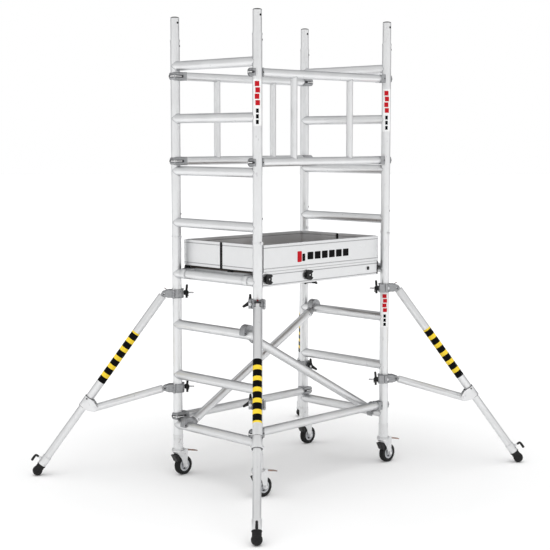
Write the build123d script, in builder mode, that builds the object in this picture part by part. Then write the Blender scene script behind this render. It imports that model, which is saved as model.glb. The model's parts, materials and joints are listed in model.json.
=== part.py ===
"""Mobile frame scaffold section: two ladder end frames, braces, guardrails, a platform with
toe boards, four casters and four outrigger stabilisers.

Millimetres.  +X runs along the platform, +Y across it, +Z up.  The origin is on the floor under
the middle of the tower.
"""

from build123d import *
from math import cos, radians, sin
import os

# ---------------------------------------------------------------- driving dimensions
# tower
stile_spacing_x = 1016
stile_spacing_y = 630
tube_r = 25
tube_wall = 1.8
rung_pitch = 280
first_rung_z = 290
rungs_per_frame = 4
stile_bottom_z = 154
frame_joint_z = 1270
frame_top_z = 2390
collar_r = 26.4
collar_h = 11
weld_gap = 0.2

# spigots and the pins that lock one frame on the next
spigot_r = 23.1
spigot_root_r = 22.8
spigot_bore_r = 21.1
spigot_out = 115
spigot_in = 60
spigot_hole_r = 4.5
spigot_hole_drop = 26
lock_pin_r = 4
lock_pin_rise = 62
lock_pin_half_length = 31

# braces and guardrails
rail_r = 22.5
rail_wall = 1.8
rail_y = 295
rail_low_z = 1742
rail_high_z = 2196
upright_r = 17.5
upright_x = 220
horizontal_brace_z = 338
diagonal_y = 235
diagonal_high_rung = 2
claw_reach = 46
claw_half_h = 23
claw_jaw_r = 33
claw_bore_r = 25.3
claw_plug_r = 20.4
hook_reach = 58
hook_half_w = 18
hook_r = 35.5
hook_rise = 16
hook_outer_leg = 2
hook_inner_leg = 24
plug_length = 28

# platform
beam_half_length = 455
beam_outer_y = 300
beam_w = 38
beam_h = 78
beam_wall = 3
deck_top_z = 1175
deck_t = 12
board_h = 140
board_t = 18
board_wall = 2
board_outer_x = 470
board_groove = 1.2

# casters
wheel_r = 52.5
wheel_w = 33
rim_r = 33
boss_r = 13
axle_z = wheel_r
trail = 35
axle_r = 6
axle_nut_r = 10
axle_nut_t = 5
running_gap = 0.06
sleeve_r = 27
sleeve_top_z = 230
flange_r = 32
flange_top_z = 153.5
flange_z = 147
fork_top_z = 146.7
fork_head_r = 31
fork_back = 27
fork_eye = 12
fork_head_t = 12
fork_plate_t = 3
fork_inner_y = 19
kingpin_r = 7
kingpin_head_r = 11
kingpin_head_t = 4
pedal_pin_x = 43
pedal_pin_z = 138
pedal_pin_r = 3
pedal_half_w = 15
pedal_end_x = 135
pedal_end_z = 117.5
pedal_t = 4

# stabilisers, in the vertical plane that holds the arm: h is the distance from the stile's axis
upper_pivot = (71, 1019)
lower_pivot = (69, 494)
foot_centre = (784, 27.5)
foot_r = 27.5
main_r = 22.75
main_wall = 2
main_length = 752
lower_tube_r = 21
lower_tube_wall = 2
lower_tube_end = 1178
tube_overlap = 80
cut_margin = 6
sliding_gap = 0.3
bracket_at = 745
bracket_drop = 56.5
bracket_half_length = 32
bracket_wall = 4
bracket_lip = 12
bracket_foot = 15
bracket_pin_r = 5
strut_r = 20.5
strut_wall = 2
clamp_half_h = 23.5
clamp_bore_r = 25.3
clamp_r = 34
clamp_split = 3
ear_from = -34
ear_to = 16
ear_depth = 18
hinge_h = 16
hinge_t = 33
knuckle_r = 7
hinge_pin_r = 4
lug_from = 20
lug_inner_t = 17
lug_t = 5
lug_wide_h = 48
lug_half_z = 22
eye_r = 14
pivot_sleeve_r = 8
pivot_sleeve_bore_r = 5.2
tongue_half_t = 8.6
tongue_r = 13
tongue_length = 34
tube_setback = 16
strut_end_gap = 10
bolt_t = -39
bolt_r = 4
bolt_from = 22
bolt_head_from = 16
bolt_head_r = 7.5
bolt_tip = 88
knob_from = 35
knob_to = 61
knob_hub_r = 12
wing_from = 41
wing_t = 12
wing_reach = 46
wing_w = 12
stem_r = 18.7
stem_gap = 40
stem_short = 12
collar_tube_r = 24
collar_tube_from = 1126
lock_handle_at = 1153
lock_handle_out = 59
lock_handle_drop = 37
lock_handle_r = 4
lock_bend_r = 8

stile_x = stile_spacing_x / 2
stile_y = stile_spacing_y / 2
ends = {"left": -1, "right": 1}
corners = {
    "front_left": (-1, -1),
    "front_right": (1, -1),
    "rear_left": (-1, 1),
    "rear_right": (1, 1),
}
rung_z = [first_rung_z + rung_pitch * i for i in range(2 * rungs_per_frame)]

os.makedirs("parts", exist_ok=True)


def save(piece, name):
    piece.label = name
    export_step(piece, f"parts/{name}.step")


def along(start, end):
    """A plane at start that faces end."""
    return Plane(origin=start, z_dir=Vector(*end) - Vector(*start))


def round_tube(start, end, outer_r, wall):
    """Adds a round tube from start to end to the part that is being built."""
    with BuildSketch(along(start, end)) as ring:
        Circle(outer_r)
        Circle(outer_r - wall, mode=Mode.SUBTRACT)
    extrude(ring.sketch, amount=(Vector(*end) - Vector(*start)).length)


def rod(start, end, radius, mode=Mode.ADD):
    """Adds, or cuts, a solid round bar from start to end."""
    with BuildSketch(along(start, end)) as disc:
        Circle(radius)
    extrude(disc.sketch, amount=(Vector(*end) - Vector(*start)).length, mode=mode)


def block(low, high, mode=Mode.ADD):
    """Adds, or cuts, a box between two corners."""
    size = Vector(*high) - Vector(*low)
    with BuildSketch(Plane.XY.offset(low[2])) as base:
        with Locations(((low[0] + high[0]) / 2, (low[1] + high[1]) / 2)):
            Rectangle(size.X, size.Y)
    extrude(base.sketch, amount=size.Z, mode=mode)


# ---------------------------------------------------------------- ladder end frames
def ladder_frame(side, bottom_z, top_z, rungs, socketed):
    """Two stiles and four rungs.  The rungs stop at the weld round each stile."""
    x = side * stile_x
    with BuildPart() as rung_set:
        for z in rungs:
            round_tube((x, -stile_y, z), (x, stile_y, z), tube_r, tube_wall)
        for sy in (-1, 1):
            rod((x, sy * stile_y, bottom_z), (x, sy * stile_y, top_z), tube_r + weld_gap, Mode.SUBTRACT)
    with BuildPart() as frame:
        for sy in (-1, 1):
            y = sy * stile_y
            round_tube((x, y, bottom_z), (x, y, top_z), tube_r, tube_wall)
            round_tube((x, y, top_z - collar_h), (x, y, top_z), collar_r, collar_r - tube_r + tube_wall)
            if socketed:
                pin_z = bottom_z + lock_pin_rise
                rod((x, y - tube_r - 2, pin_z), (x, y + tube_r + 2, pin_z), spigot_hole_r, Mode.SUBTRACT)
        add(rung_set.part)
    return frame


for end, side in ends.items():
    lower = ladder_frame(side, stile_bottom_z, frame_joint_z, rung_z[:rungs_per_frame], False)
    save(lower.part, f"lower_frame_{end}")
    upper = ladder_frame(side, frame_joint_z, frame_top_z, rung_z[rungs_per_frame:], True)
    save(upper.part, f"upper_frame_{end}")

# spigots: one in the top of every stile, with a cross hole for the locking pin
with BuildPart() as spigots:
    for sx, sy in corners.values():
        for z in (frame_joint_z, frame_top_z):
            x, y = sx * stile_x, sy * stile_y
            free_r = spigot_root_r if z == frame_joint_z else spigot_r
            round_tube((x, y, z - spigot_in), (x, y, z), spigot_root_r, spigot_root_r - spigot_bore_r)
            round_tube((x, y, z), (x, y, z + spigot_out), free_r, free_r - spigot_bore_r)
            hole_z = z + (lock_pin_rise if z == frame_joint_z else spigot_out - spigot_hole_drop)
            rod((x, y - tube_r, hole_z), (x, y + tube_r, hole_z), spigot_hole_r, Mode.SUBTRACT)
save(spigots.part, "stile_spigots")

with BuildPart() as lock_pins:
    for sx, sy in corners.values():
        x, y, z = sx * stile_x, sy * stile_y, frame_joint_z + lock_pin_rise
        rod((x, y - lock_pin_half_length, z), (x, y + lock_pin_half_length, z), lock_pin_r)
        head = y - lock_pin_half_length
        rod((x, head - 4, z), (x, head, z), lock_pin_r + 3)
save(lock_pins.part, "interlock_pins")


# ---------------------------------------------------------------- guardrails and braces
def claw(sx, sy, z, half_h=claw_half_h):
    """A cast claw on a stile: its jaws open outwards and a plug goes into the rail's tube."""
    x, y = sx * stile_x, sy * stile_y
    inner_face = claw_jaw_r
    jaw_tip = -14
    rail_offset = stile_y - rail_y
    profile_plane = Plane(origin=(x, y, z - half_h), x_dir=(-sx, 0, 0), z_dir=(0, 0, 1))
    reach_y = -sy * profile_plane.y_dir.Y
    side_plane = Plane(origin=(x, y, z), x_dir=(-sx, 0, 0), z_dir=(0, -sy, 0))
    with BuildPart() as body:
        with BuildSketch(profile_plane):
            with BuildLine():
                Polyline(
                    (-claw_jaw_r, reach_y * jaw_tip),
                    (claw_jaw_r + 2, reach_y * jaw_tip),
                    (claw_reach, reach_y * (rail_offset - rail_r)),
                    (claw_reach, reach_y * (rail_offset + rail_r)),
                    (claw_jaw_r - 4, reach_y * inner_face),
                    (-claw_jaw_r, reach_y * inner_face),
                    close=True,
                )
            make_face()
            Circle(claw_bore_r, mode=Mode.SUBTRACT)
            with Locations((0, reach_y * jaw_tip)):
                Rectangle(2 * claw_bore_r, 2 * abs(jaw_tip), mode=Mode.SUBTRACT)
        extrude(amount=2 * half_h)
        with BuildSketch(side_plane):
            with Locations((2 * claw_reach - claw_jaw_r, 0)):
                RectangleRounded(4 * claw_reach, 2 * half_h - 0.4, half_h - 4)
        extrude(amount=2 * claw_reach, both=True, mode=Mode.INTERSECT)
        tube_plane_x = x - sx * (claw_reach - 4)
        plug_end = x - sx * (claw_reach + plug_length)
        rod((tube_plane_x, sy * rail_y, z), (plug_end, sy * rail_y, z), claw_plug_r)
        slot_plane = Plane(origin=(x, y - sy * inner_face, z), x_dir=(-sx, 0, 0), z_dir=(0, sy, 0))
        with BuildSketch(slot_plane):
            with Locations((-8, 0)):
                SlotOverall(38, 8)
        extrude(amount=2.5, mode=Mode.SUBTRACT)
    return body.part


def rung_hook(sx, sy, z, slope):
    """A cast hook that drops over a rung, with a plug for the diagonal brace's tube."""
    x, y = sx * stile_x, sy * diagonal_y
    inward = Vector(-sx * cos(slope), 0, sin(slope))
    centre = Vector(x, y, z)
    side_view = Plane(origin=(x, y, z), x_dir=(sx, 0, 0), z_dir=(0, -sx, 0))
    with BuildPart() as body:
        with BuildSketch(side_view):
            Circle(hook_r)
            with Locations((0, hook_rise)):
                Circle(hook_r)
            with Locations((0, hook_rise / 2)):
                Rectangle(2 * hook_r, hook_rise)
            with Locations((hook_r, -hook_r - hook_outer_leg)):
                Rectangle(2 * hook_r, 2 * hook_r, mode=Mode.SUBTRACT)
            with Locations((-hook_r, -hook_r - hook_inner_leg)):
                Rectangle(2 * hook_r, 2 * hook_r, mode=Mode.SUBTRACT)
        extrude(amount=hook_half_w, both=True)
        start = centre + inward * claw_bore_r
        end = centre + inward * (hook_reach + plug_length)
        rod(tuple(start), tuple(end), claw_plug_r)
        collar_end = centre + inward * (hook_reach - 0.5)
        rod(tuple(start), tuple(collar_end), rail_r)
        with BuildSketch(side_view):
            Circle(claw_bore_r)
            with Locations((0, -hook_r)):
                Rectangle(2 * claw_bore_r, 2 * hook_r)
        extrude(amount=2 * hook_half_w, both=True, mode=Mode.SUBTRACT)
    return body.part


for name, sy in {"front": -1, "rear": 1}.items():
    rail_end = stile_x - claw_reach - 0.3
    with BuildPart() as upright_set:
        for x in (-upright_x, upright_x):
            round_tube((x, sy * rail_y, rail_low_z), (x, sy * rail_y, rail_high_z), upright_r, rail_wall)
        for z in (rail_low_z, rail_high_z):
            rod((-rail_end, sy * rail_y, z), (rail_end, sy * rail_y, z), rail_r + weld_gap, Mode.SUBTRACT)
    with BuildPart() as guardrail:
        for z in (rail_low_z, rail_high_z):
            round_tube((-rail_end, sy * rail_y, z), (rail_end, sy * rail_y, z), rail_r, rail_wall)
        add(upright_set.part)
    save(guardrail.part, f"guardrail_{name}")

with BuildPart() as horizontal_braces:
    for sy in (-1, 1):
        y = sy * rail_y
        round_tube((-rail_end, y, horizontal_brace_z), (rail_end, y, horizontal_brace_z), rail_r, rail_wall)
save(horizontal_braces.part, "horizontal_braces")

diagonal_rise = rung_z[diagonal_high_rung] - rung_z[0]
diagonal_run = Vector(stile_spacing_x, 0, diagonal_rise)
diagonal_slope = radians(90 - Vector(0, 0, 1).get_angle(diagonal_run))

with BuildPart() as diagonal_braces:
    for sy in (-1, 1):
        high = Vector(sy * stile_x, sy * diagonal_y, rung_z[diagonal_high_rung])
        low = Vector(-sy * stile_x, sy * diagonal_y, rung_z[0])
        step = (low - high).normalized() * hook_reach
        round_tube(tuple(high + step), tuple(low - step), rail_r, rail_wall)
save(diagonal_braces.part, "diagonal_braces")

with BuildPart() as claws:
    for sx, sy in corners.values():
        for z in (rail_low_z, rail_high_z, horizontal_brace_z):
            add(claw(sx, sy, z))
    for sy in (-1, 1):
        add(rung_hook(sy, sy, rung_z[diagonal_high_rung], -diagonal_slope))
        add(rung_hook(-sy, sy, rung_z[0], diagonal_slope))
save(claws.part, "brace_claws")

# ---------------------------------------------------------------- platform
beam_inner_y = beam_outer_y - beam_w
beam_bottom_z = deck_top_z - beam_h
end_beam_w = 15
joist_w = 30
joist_h = 40
hook_y = 260
platform_hook_half_w = 18
hook_cut = 40
hook_tip_drop = 16

with BuildPart() as side_beams:
    for sy in (-1, 1):
        with BuildSketch(Plane(origin=(-beam_half_length, 0, 0), x_dir=(0, 1, 0), z_dir=(1, 0, 0))):
            with Locations((sy * (beam_outer_y + beam_inner_y) / 2, beam_bottom_z + beam_h / 2)):
                Rectangle(beam_w, beam_h)
                Rectangle(beam_w - 2 * beam_wall, beam_h - 2 * beam_wall, mode=Mode.SUBTRACT)
            for rise in (10, beam_h - 14):
                with Locations((sy * beam_outer_y, beam_bottom_z + rise)):
                    Rectangle(2 * board_groove, 4, mode=Mode.SUBTRACT)
        extrude(amount=2 * beam_half_length)

with BuildPart() as joists:
    top = deck_top_z - deck_t - weld_gap
    reach = beam_inner_y - weld_gap
    for sx in (-1, 1):
        outer = sx * beam_half_length
        inner = sx * (beam_half_length - end_beam_w)
        block((min(outer, inner), -reach, top - 2 * end_beam_w), (max(outer, inner), reach, top))
    for x in (-upright_x, 0, upright_x):
        block((x - joist_w / 2, -reach, top - joist_h), (x + joist_w / 2, reach, top))
        block(
            (x - joist_w / 2 + 2, -reach, top - joist_h + 2),
            (x + joist_w / 2 - 2, reach, top - 2),
            Mode.SUBTRACT,
        )

deck_half_length = board_outer_x - board_t - 1
with BuildPart() as deck:
    block(
        (-deck_half_length, -beam_inner_y + weld_gap, deck_top_z - deck_t),
        (deck_half_length, beam_inner_y - weld_gap, deck_top_z),
    )
save(deck.part, "platform_deck")

with BuildPart() as platform_hooks:
    for sx in (-1, 1):
        for sy in (-1, 1):
            x, y, z = sx * stile_x, sy * (hook_y - platform_hook_half_w), rung_z[3]
            arm_low = sx * (beam_half_length + 0.3)
            arm_high = sx * stile_x
            top = deck_top_z - deck_t - weld_gap
            block(
                (min(arm_low, arm_high), y - platform_hook_half_w, top - 2 * end_beam_w),
                (max(arm_low, arm_high), y + platform_hook_half_w, top),
            )
            rod((x, y - platform_hook_half_w, z), (x, y + platform_hook_half_w, z), claw_jaw_r)
            near_y, far_y = y - hook_cut, y + hook_cut
            rod((x, near_y, z), (x, far_y, z), claw_bore_r, Mode.SUBTRACT)
            block((x - claw_bore_r, near_y, z - hook_cut), (x + claw_bore_r, far_y, z), Mode.SUBTRACT)
            low_x, high_x = sorted((x, x + sx * hook_cut))
            block((low_x, near_y, z - hook_cut), (high_x, far_y, z - hook_tip_drop), Mode.SUBTRACT)

with BuildPart() as platform_frame:
    add(side_beams.part)
    add(joists.part)
    add(platform_hooks.part)
save(platform_frame.part, "platform_frame")

# toe boards: hollow grooved profiles that fold on vertical hinges
board_bottom_z = deck_top_z + 1
board_long_end = board_outer_x - 20
board_short_end = beam_outer_y - 20
hinge_r = 9.6


def board_profile(plane):
    """Sketch of one board's section: thickness along the plane's x, height along its y."""
    with BuildSketch(plane) as section:
        Rectangle(board_t, board_h)
        Rectangle(board_t - 2 * board_wall, board_h - 2 * board_wall, mode=Mode.SUBTRACT)
        for side in (-1, 1):
            for height in (-1, 1):
                with Locations((side * board_t / 2, height * (board_h / 2 - 16))):
                    Rectangle(2 * board_groove, 5, mode=Mode.SUBTRACT)
    return section


with BuildPart() as toe_boards:
    mid_z = board_bottom_z + board_h / 2
    for sy in (-1, 1):
        y = sy * (beam_outer_y - board_t / 2)
        section = board_profile(Plane(origin=(-board_long_end, y, mid_z), x_dir=(0, 1, 0), z_dir=(1, 0, 0)))
        extrude(section.sketch, amount=2 * board_long_end)
    for sx in (-1, 1):
        x = sx * (board_outer_x - board_t / 2)
        for sy in (-1, 1):
            start = sy * board_short_end
            section = board_profile(Plane(origin=(x, start, mid_z), x_dir=(sy, 0, 0), z_dir=(0, -sy, 0)))
            extrude(section.sketch, amount=board_short_end - hinge_r - 0.4)
save(toe_boards.part, "toe_boards")

with BuildPart() as toe_board_hinges:
    hinge_x = board_outer_x - board_t / 2
    hinge_y = beam_outer_y - board_t / 2
    top_z = board_bottom_z + board_h
    for sx in (-1, 1):
        for y in (-hinge_y, 0, hinge_y):
            rod((sx * hinge_x, y, board_bottom_z + 1), (sx * hinge_x, y, top_z - 1), hinge_r)
save(toe_board_hinges.part, "toe_board_hinges")


# ---------------------------------------------------------------- casters
with BuildPart() as caster_sockets:
    for sx, sy in corners.values():
        x, y = sx * stile_x, sy * stile_y
        round_tube((x, y, flange_top_z), (x, y, sleeve_top_z), sleeve_r, sleeve_r - tube_r - 0.1)
        rod((x, y, flange_z), (x, y, flange_top_z), flange_r)
        head_low = fork_top_z - fork_head_t - kingpin_head_t
        rod((x, y, head_low), (x, y, flange_z), kingpin_r)
        rod((x, y, head_low), (x, y, head_low + kingpin_head_t - sliding_gap), kingpin_head_r)
save(caster_sockets.part, "caster_sockets")


def caster_fork(x, y):
    """Pressed fork: swivel head, two cheeks down to the axle, axle and pedal pin in place."""
    head_bottom = fork_top_z - fork_head_t
    axle_x = x + trail
    nose_x = x + pedal_pin_x + 8
    inner = fork_inner_y
    outer = fork_inner_y + fork_plate_t
    with BuildPart() as fork:
        with BuildSketch(Plane.XZ.offset(-y)):
            with BuildLine():
                Polyline(
                    (x - fork_back, fork_top_z),
                    (nose_x, fork_top_z),
                    (nose_x, pedal_pin_z - 8),
                    (axle_x + 15, 100),
                    (axle_x + fork_eye, axle_z - fork_eye / 2),
                    (axle_x, axle_z - fork_eye),
                    (axle_x - fork_eye, axle_z - fork_eye / 2),
                    (x + 8, 92),
                    (x - 12, 118),
                    (x - fork_back, head_bottom),
                    close=True,
                )
            make_face()
        extrude(amount=outer, both=True)
        fillet(fork.edges().filter_by(Axis.Y).group_by(Axis.Z)[0], 6)
        block((x - 2 * fork_back, y - inner, 0), (nose_x + 1, y + inner, head_bottom), Mode.SUBTRACT)
        block((x + fork_head_r, y - inner, 0), (nose_x + 1, y + inner, fork_top_z), Mode.SUBTRACT)
        rod((x, y, head_bottom), (x, y, fork_top_z), fork_head_r)
        rod((x, y, head_bottom - 1), (x, y, fork_top_z + 1), kingpin_r + running_gap, Mode.SUBTRACT)
        reach = outer + axle_nut_t
        rod((axle_x, y - reach, axle_z), (axle_x, y + reach, axle_z), axle_r)
        for sy in (-1, 1):
            rod((axle_x, y + sy * outer, axle_z), (axle_x, y + sy * reach, axle_z), axle_nut_r)
        pin_x = x + pedal_pin_x
        rod((pin_x, y - inner - 1, pedal_pin_z), (pin_x, y + inner + 1, pedal_pin_z), pedal_pin_r)
    return fork.part


def caster_wheel(x, y):
    """Tyre on a dished hub with a bored boss."""
    half = wheel_w / 2
    tread_half = half - 4
    shoulder_r = wheel_r - 1.5
    web_half = half - 6
    boss_half = half + 0.5
    with BuildPart() as wheel:
        with BuildSketch(Plane(origin=(x + trail, y, axle_z), x_dir=(0, 1, 0), z_dir=(1, 0, 0))):
            with BuildLine():
                Polyline((-half, rim_r), (-half, wheel_r - 6), (-tread_half, shoulder_r))
                ThreePointArc((-tread_half, shoulder_r), (0, wheel_r), (tread_half, shoulder_r))
                Polyline(
                    (tread_half, shoulder_r),
                    (half, wheel_r - 6),
                    (half, rim_r),
                    (web_half, rim_r - 3),
                    (web_half, boss_r + 2),
                    (boss_half, boss_r),
                    (boss_half, axle_r + running_gap),
                    (-boss_half, axle_r + running_gap),
                    (-boss_half, boss_r),
                    (-web_half, boss_r + 2),
                    (-web_half, rim_r - 3),
                    (-half, rim_r),
                )
            make_face()
        revolve(axis=Axis((x + trail, y, axle_z), (0, 1, 0)))
    return wheel.part


def brake_pedal(x, y):
    """Foot pedal on the fork's hinge pin, sloping down to its tip."""
    pin_x = x + pedal_pin_x
    low = y - pedal_half_w
    high = y + pedal_half_w
    barrel_r = 7
    with BuildPart() as pedal:
        rod((pin_x, low, pedal_pin_z), (pin_x, high, pedal_pin_z), barrel_r)
        with BuildSketch(Plane.XZ.offset(-y)):
            with BuildLine():
                Polyline(
                    (pin_x, pedal_pin_z),
                    (pin_x + 2, pedal_pin_z + barrel_r - 0.5),
                    (pin_x + 10, pedal_pin_z + 2),
                    (x + pedal_end_x, pedal_end_z + pedal_t / 2),
                    (x + pedal_end_x, pedal_end_z - pedal_t / 2),
                    (pin_x + 8, pedal_pin_z - 4),
                    close=True,
                )
            make_face()
        extrude(amount=pedal_half_w, both=True)
        tip_edges = pedal.edges().filter_by(Axis.Z).group_by(Axis.X)[-1]
        fillet(tip_edges, 9)
        clear = pedal_pin_r + running_gap
        rod((pin_x, low - 1, pedal_pin_z), (pin_x, high + 1, pedal_pin_z), clear, Mode.SUBTRACT)
    return pedal.part


for corner, (sx, sy) in corners.items():
    place = (sx * stile_x, sy * stile_y)
    save(caster_fork(*place), f"caster_fork_{corner}")
    save(caster_wheel(*place), f"caster_wheel_{corner}")
    save(brake_pedal(*place), f"brake_pedal_{corner}")


# ---------------------------------------------------------------- stabilisers
run = Vector(foot_centre[0] - upper_pivot[0], foot_centre[1] - upper_pivot[1])
arm_dir = run.normalized()
arm_length = run.length
arm_out = Vector(-arm_dir.Y, arm_dir.X)


def arm_point(s, n=0):
    """(h, z) of a point s along the main tube from its pivot and n out from its axis."""
    p = Vector(*upper_pivot) + arm_dir * s + arm_out * n
    return (p.X, p.Y)


class Stabiliser:
    """One stabiliser's frame: at(h, t, z) is a point h out from the stile and t to its side."""

    def __init__(self, sx, sy):
        self.out = Vector(sx, sy, 0).normalized()
        self.side = Vector(0, 0, 1).cross(self.out)
        self.foot = Vector(sx * stile_x, sy * stile_y, 0)

    def at(self, h, t, z):
        return tuple(self.foot + self.out * h + self.side * t + Vector(0, 0, z))

    def radial(self, t=0):
        """Vertical plane with x outwards and y up."""
        return Plane(origin=self.at(0, t, 0), x_dir=self.out, z_dir=self.out.cross(Vector(0, 0, 1)))

    def level(self, z):
        """Level plane with x outwards and y to the side."""
        return Plane(origin=self.at(0, 0, z), x_dir=self.out, z_dir=(0, 0, 1))


def half_clamp(s, pivot):
    """Two half shells round the stile, hinged on one side and bolted on the other.

    The outer shell is open in the middle, where its two ends turn out as lugs for the pivot.
    """
    h, z = pivot
    low_z = z - clamp_half_h
    high_z = z + clamp_half_h
    with BuildPart() as clamp:
        with BuildSketch(s.level(low_z)):
            Circle(clamp_r)
            with Locations(((ear_from + ear_to) / 2, bolt_t)):
                RectangleRounded(ear_to - ear_from, ear_depth, 5)
            with Locations((hinge_h, hinge_t)):
                Circle(knuckle_r)
            Circle(clamp_bore_r, mode=Mode.SUBTRACT)
            with Locations((0, bolt_t)):
                Rectangle(clamp_split, 2 * ear_depth, mode=Mode.SUBTRACT)
            with Locations((clamp_r, 0)):
                Rectangle(clamp_r, 2 * lug_inner_t, mode=Mode.SUBTRACT)
        extrude(amount=2 * clamp_half_h)
        for side in (-1, 1):
            with BuildSketch(s.radial(side * lug_inner_t)) as lug:
                with BuildLine():
                    Polyline(
                        (lug_from, z - lug_half_z),
                        (lug_wide_h, z - lug_half_z),
                        (h, z - eye_r),
                        (h, z + eye_r),
                        (lug_wide_h, z + lug_half_z),
                        (lug_from, z + lug_half_z),
                        close=True,
                    )
                make_face()
                with Locations((h, z)):
                    Circle(eye_r)
            extrude(lug.sketch, amount=-side * lug_t)
        sleeve_t = lug_inner_t + lug_t + 1
        rod(s.at(h, -sleeve_t, z), s.at(h, sleeve_t, z), pivot_sleeve_r)
        rod(s.at(h, -sleeve_t - 1, z), s.at(h, sleeve_t + 1, z), pivot_sleeve_bore_r, Mode.SUBTRACT)
        rod(s.at(hinge_h, hinge_t, low_z - 3), s.at(hinge_h, hinge_t, high_z + 3), hinge_pin_r)
        rod(s.at(bolt_from, bolt_t, z), s.at(-bolt_tip, bolt_t, z), bolt_r)
        rod(s.at(bolt_from, bolt_t, z), s.at(bolt_head_from, bolt_t, z), bolt_head_r)
    return clamp.part


def wing_knob(s, z):
    """Three-wing nut on the clamp bolt, with one wing up."""
    inward = s.out * -1
    with BuildPart() as knob:
        rod(s.at(-knob_from, bolt_t, z), s.at(-knob_to, bolt_t, z), knob_hub_r)
        with BuildSketch(Plane(origin=s.at(-wing_from, bolt_t, z), x_dir=(0, 0, 1), z_dir=inward)):
            with PolarLocations(wing_reach / 2, 3):
                SlotOverall(wing_reach, wing_w)
        extrude(amount=wing_t)
        rod(s.at(0, bolt_t, z), s.at(-bolt_tip - 2, bolt_t, z), bolt_r + running_gap, Mode.SUBTRACT)
    return knob.part


def tongue_end(s, point, direction):
    """Flattened tube end: a thick tongue round the pivot's sleeve, between the clamp's two lugs."""
    h, z = point
    back = Vector(*point) + direction * tongue_length
    across = Vector(-direction.Y, direction.X) * tongue_r
    with BuildSketch(s.radial(-tongue_half_t)) as tongue:
        with BuildLine():
            Polyline(
                (h + across.X, z + across.Y),
                (back.X + across.X, back.Y + across.Y),
                (back.X - across.X, back.Y - across.Y),
                (h - across.X, z - across.Y),
                close=True,
            )
        make_face()
        with Locations((h, z)):
            Circle(tongue_r)
            Circle(pivot_sleeve_r + weld_gap, mode=Mode.SUBTRACT)
    extrude(tongue.sketch, amount=-2 * tongue_half_t)


def main_tube(s):
    """Stepped tube from the upper clamp down to the collar above the foot."""
    with BuildPart() as tube:
        low_h, low_z = arm_point(main_length)
        mid_h, mid_z = arm_point(main_length - tube_overlap)
        end_h, end_z = arm_point(lower_tube_end)
        top_h, top_z = arm_point(tube_setback)
        round_tube(s.at(top_h, 0, top_z), s.at(low_h, 0, low_z), main_r, main_wall)
        round_tube(s.at(mid_h, 0, mid_z), s.at(end_h, 0, end_z), lower_tube_r, lower_tube_wall)
        collar_h, collar_z = arm_point(collar_tube_from)
        round_tube(
            s.at(collar_h, 0, collar_z),
            s.at(end_h, 0, end_z),
            collar_tube_r,
            collar_tube_r - lower_tube_r + lower_tube_wall,
        )
        tongue_end(s, upper_pivot, arm_dir)
        near_h, near_z = arm_point(lock_handle_at, lower_tube_r - cut_margin)
        far_h, far_z = arm_point(lock_handle_at, collar_tube_r + cut_margin)
        rod(s.at(near_h, 0, near_z), s.at(far_h, 0, far_z), lock_handle_r + sliding_gap, Mode.SUBTRACT)
    return tube.part


def bracket(s):
    """Saddle round the main tube, with a channel under it that carries the strut's pivot."""
    upper = bracket_at - bracket_half_length
    lower = bracket_at + bracket_half_length
    outer_r = main_r + bracket_wall
    skirt = bracket_drop + bracket_lip
    h, z = arm_point(bracket_at, -bracket_drop)
    with BuildPart() as channel:
        with BuildSketch(s.radial()):
            with BuildLine():
                Polyline(
                    arm_point(upper),
                    arm_point(lower),
                    arm_point(lower, -outer_r - 2),
                    arm_point(bracket_at + bracket_foot, -skirt),
                    arm_point(bracket_at - bracket_foot, -skirt),
                    arm_point(upper, -outer_r - 2),
                    close=True,
                )
            make_face()
        extrude(amount=outer_r, both=True)
        upper_h, upper_z = arm_point(upper)
        lower_h, lower_z = arm_point(lower)
        rod(s.at(upper_h, 0, upper_z), s.at(lower_h, 0, lower_z), outer_r)
        above_h, above_z = arm_point(upper - cut_margin)
        below_h, below_z = arm_point(lower + cut_margin)
        rod(s.at(above_h, 0, above_z), s.at(below_h, 0, below_z), main_r + 0.1, Mode.SUBTRACT)
        with BuildSketch(s.radial()):
            with BuildLine():
                Polyline(
                    arm_point(upper - cut_margin, -main_r - 3),
                    arm_point(lower + cut_margin, -main_r - 3),
                    arm_point(lower + cut_margin, -skirt - cut_margin),
                    arm_point(upper - cut_margin, -skirt - cut_margin),
                    close=True,
                )
            make_face()
        extrude(amount=strut_r + 0.5, both=True, mode=Mode.SUBTRACT)
        pin_t = outer_r + bracket_wall
        rod(s.at(h, -pin_t, z), s.at(h, pin_t, z), bracket_pin_r)
    return channel.part


def strut(s):
    """Tube from the lower clamp to the bracket's pivot."""
    end = Vector(*arm_point(bracket_at, -bracket_drop))
    start = Vector(*lower_pivot)
    direction = (end - start).normalized()
    tube_start = start + direction * tube_setback
    tube_end = end + direction * strut_end_gap
    with BuildPart() as tube:
        round_tube(
            s.at(tube_start.X, 0, tube_start.Y),
            s.at(tube_end.X, 0, tube_end.Y),
            strut_r,
            strut_wall,
        )
        tongue_end(s, lower_pivot, direction)
        reach = strut_r + cut_margin
        rod(
            s.at(end.X, -reach, end.Y),
            s.at(end.X, reach, end.Y),
            bracket_pin_r + weld_gap,
            Mode.SUBTRACT,
        )
    return tube.part


def foot_stem(s):
    """Inner leg that slides in the main tube's lower end."""
    with BuildPart() as stem:
        top_h, top_z = arm_point(main_length + stem_gap)
        end_h, end_z = arm_point(arm_length - stem_short)
        round_tube(s.at(top_h, 0, top_z), s.at(end_h, 0, end_z), stem_r, lower_tube_wall)
    return stem.part


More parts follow.
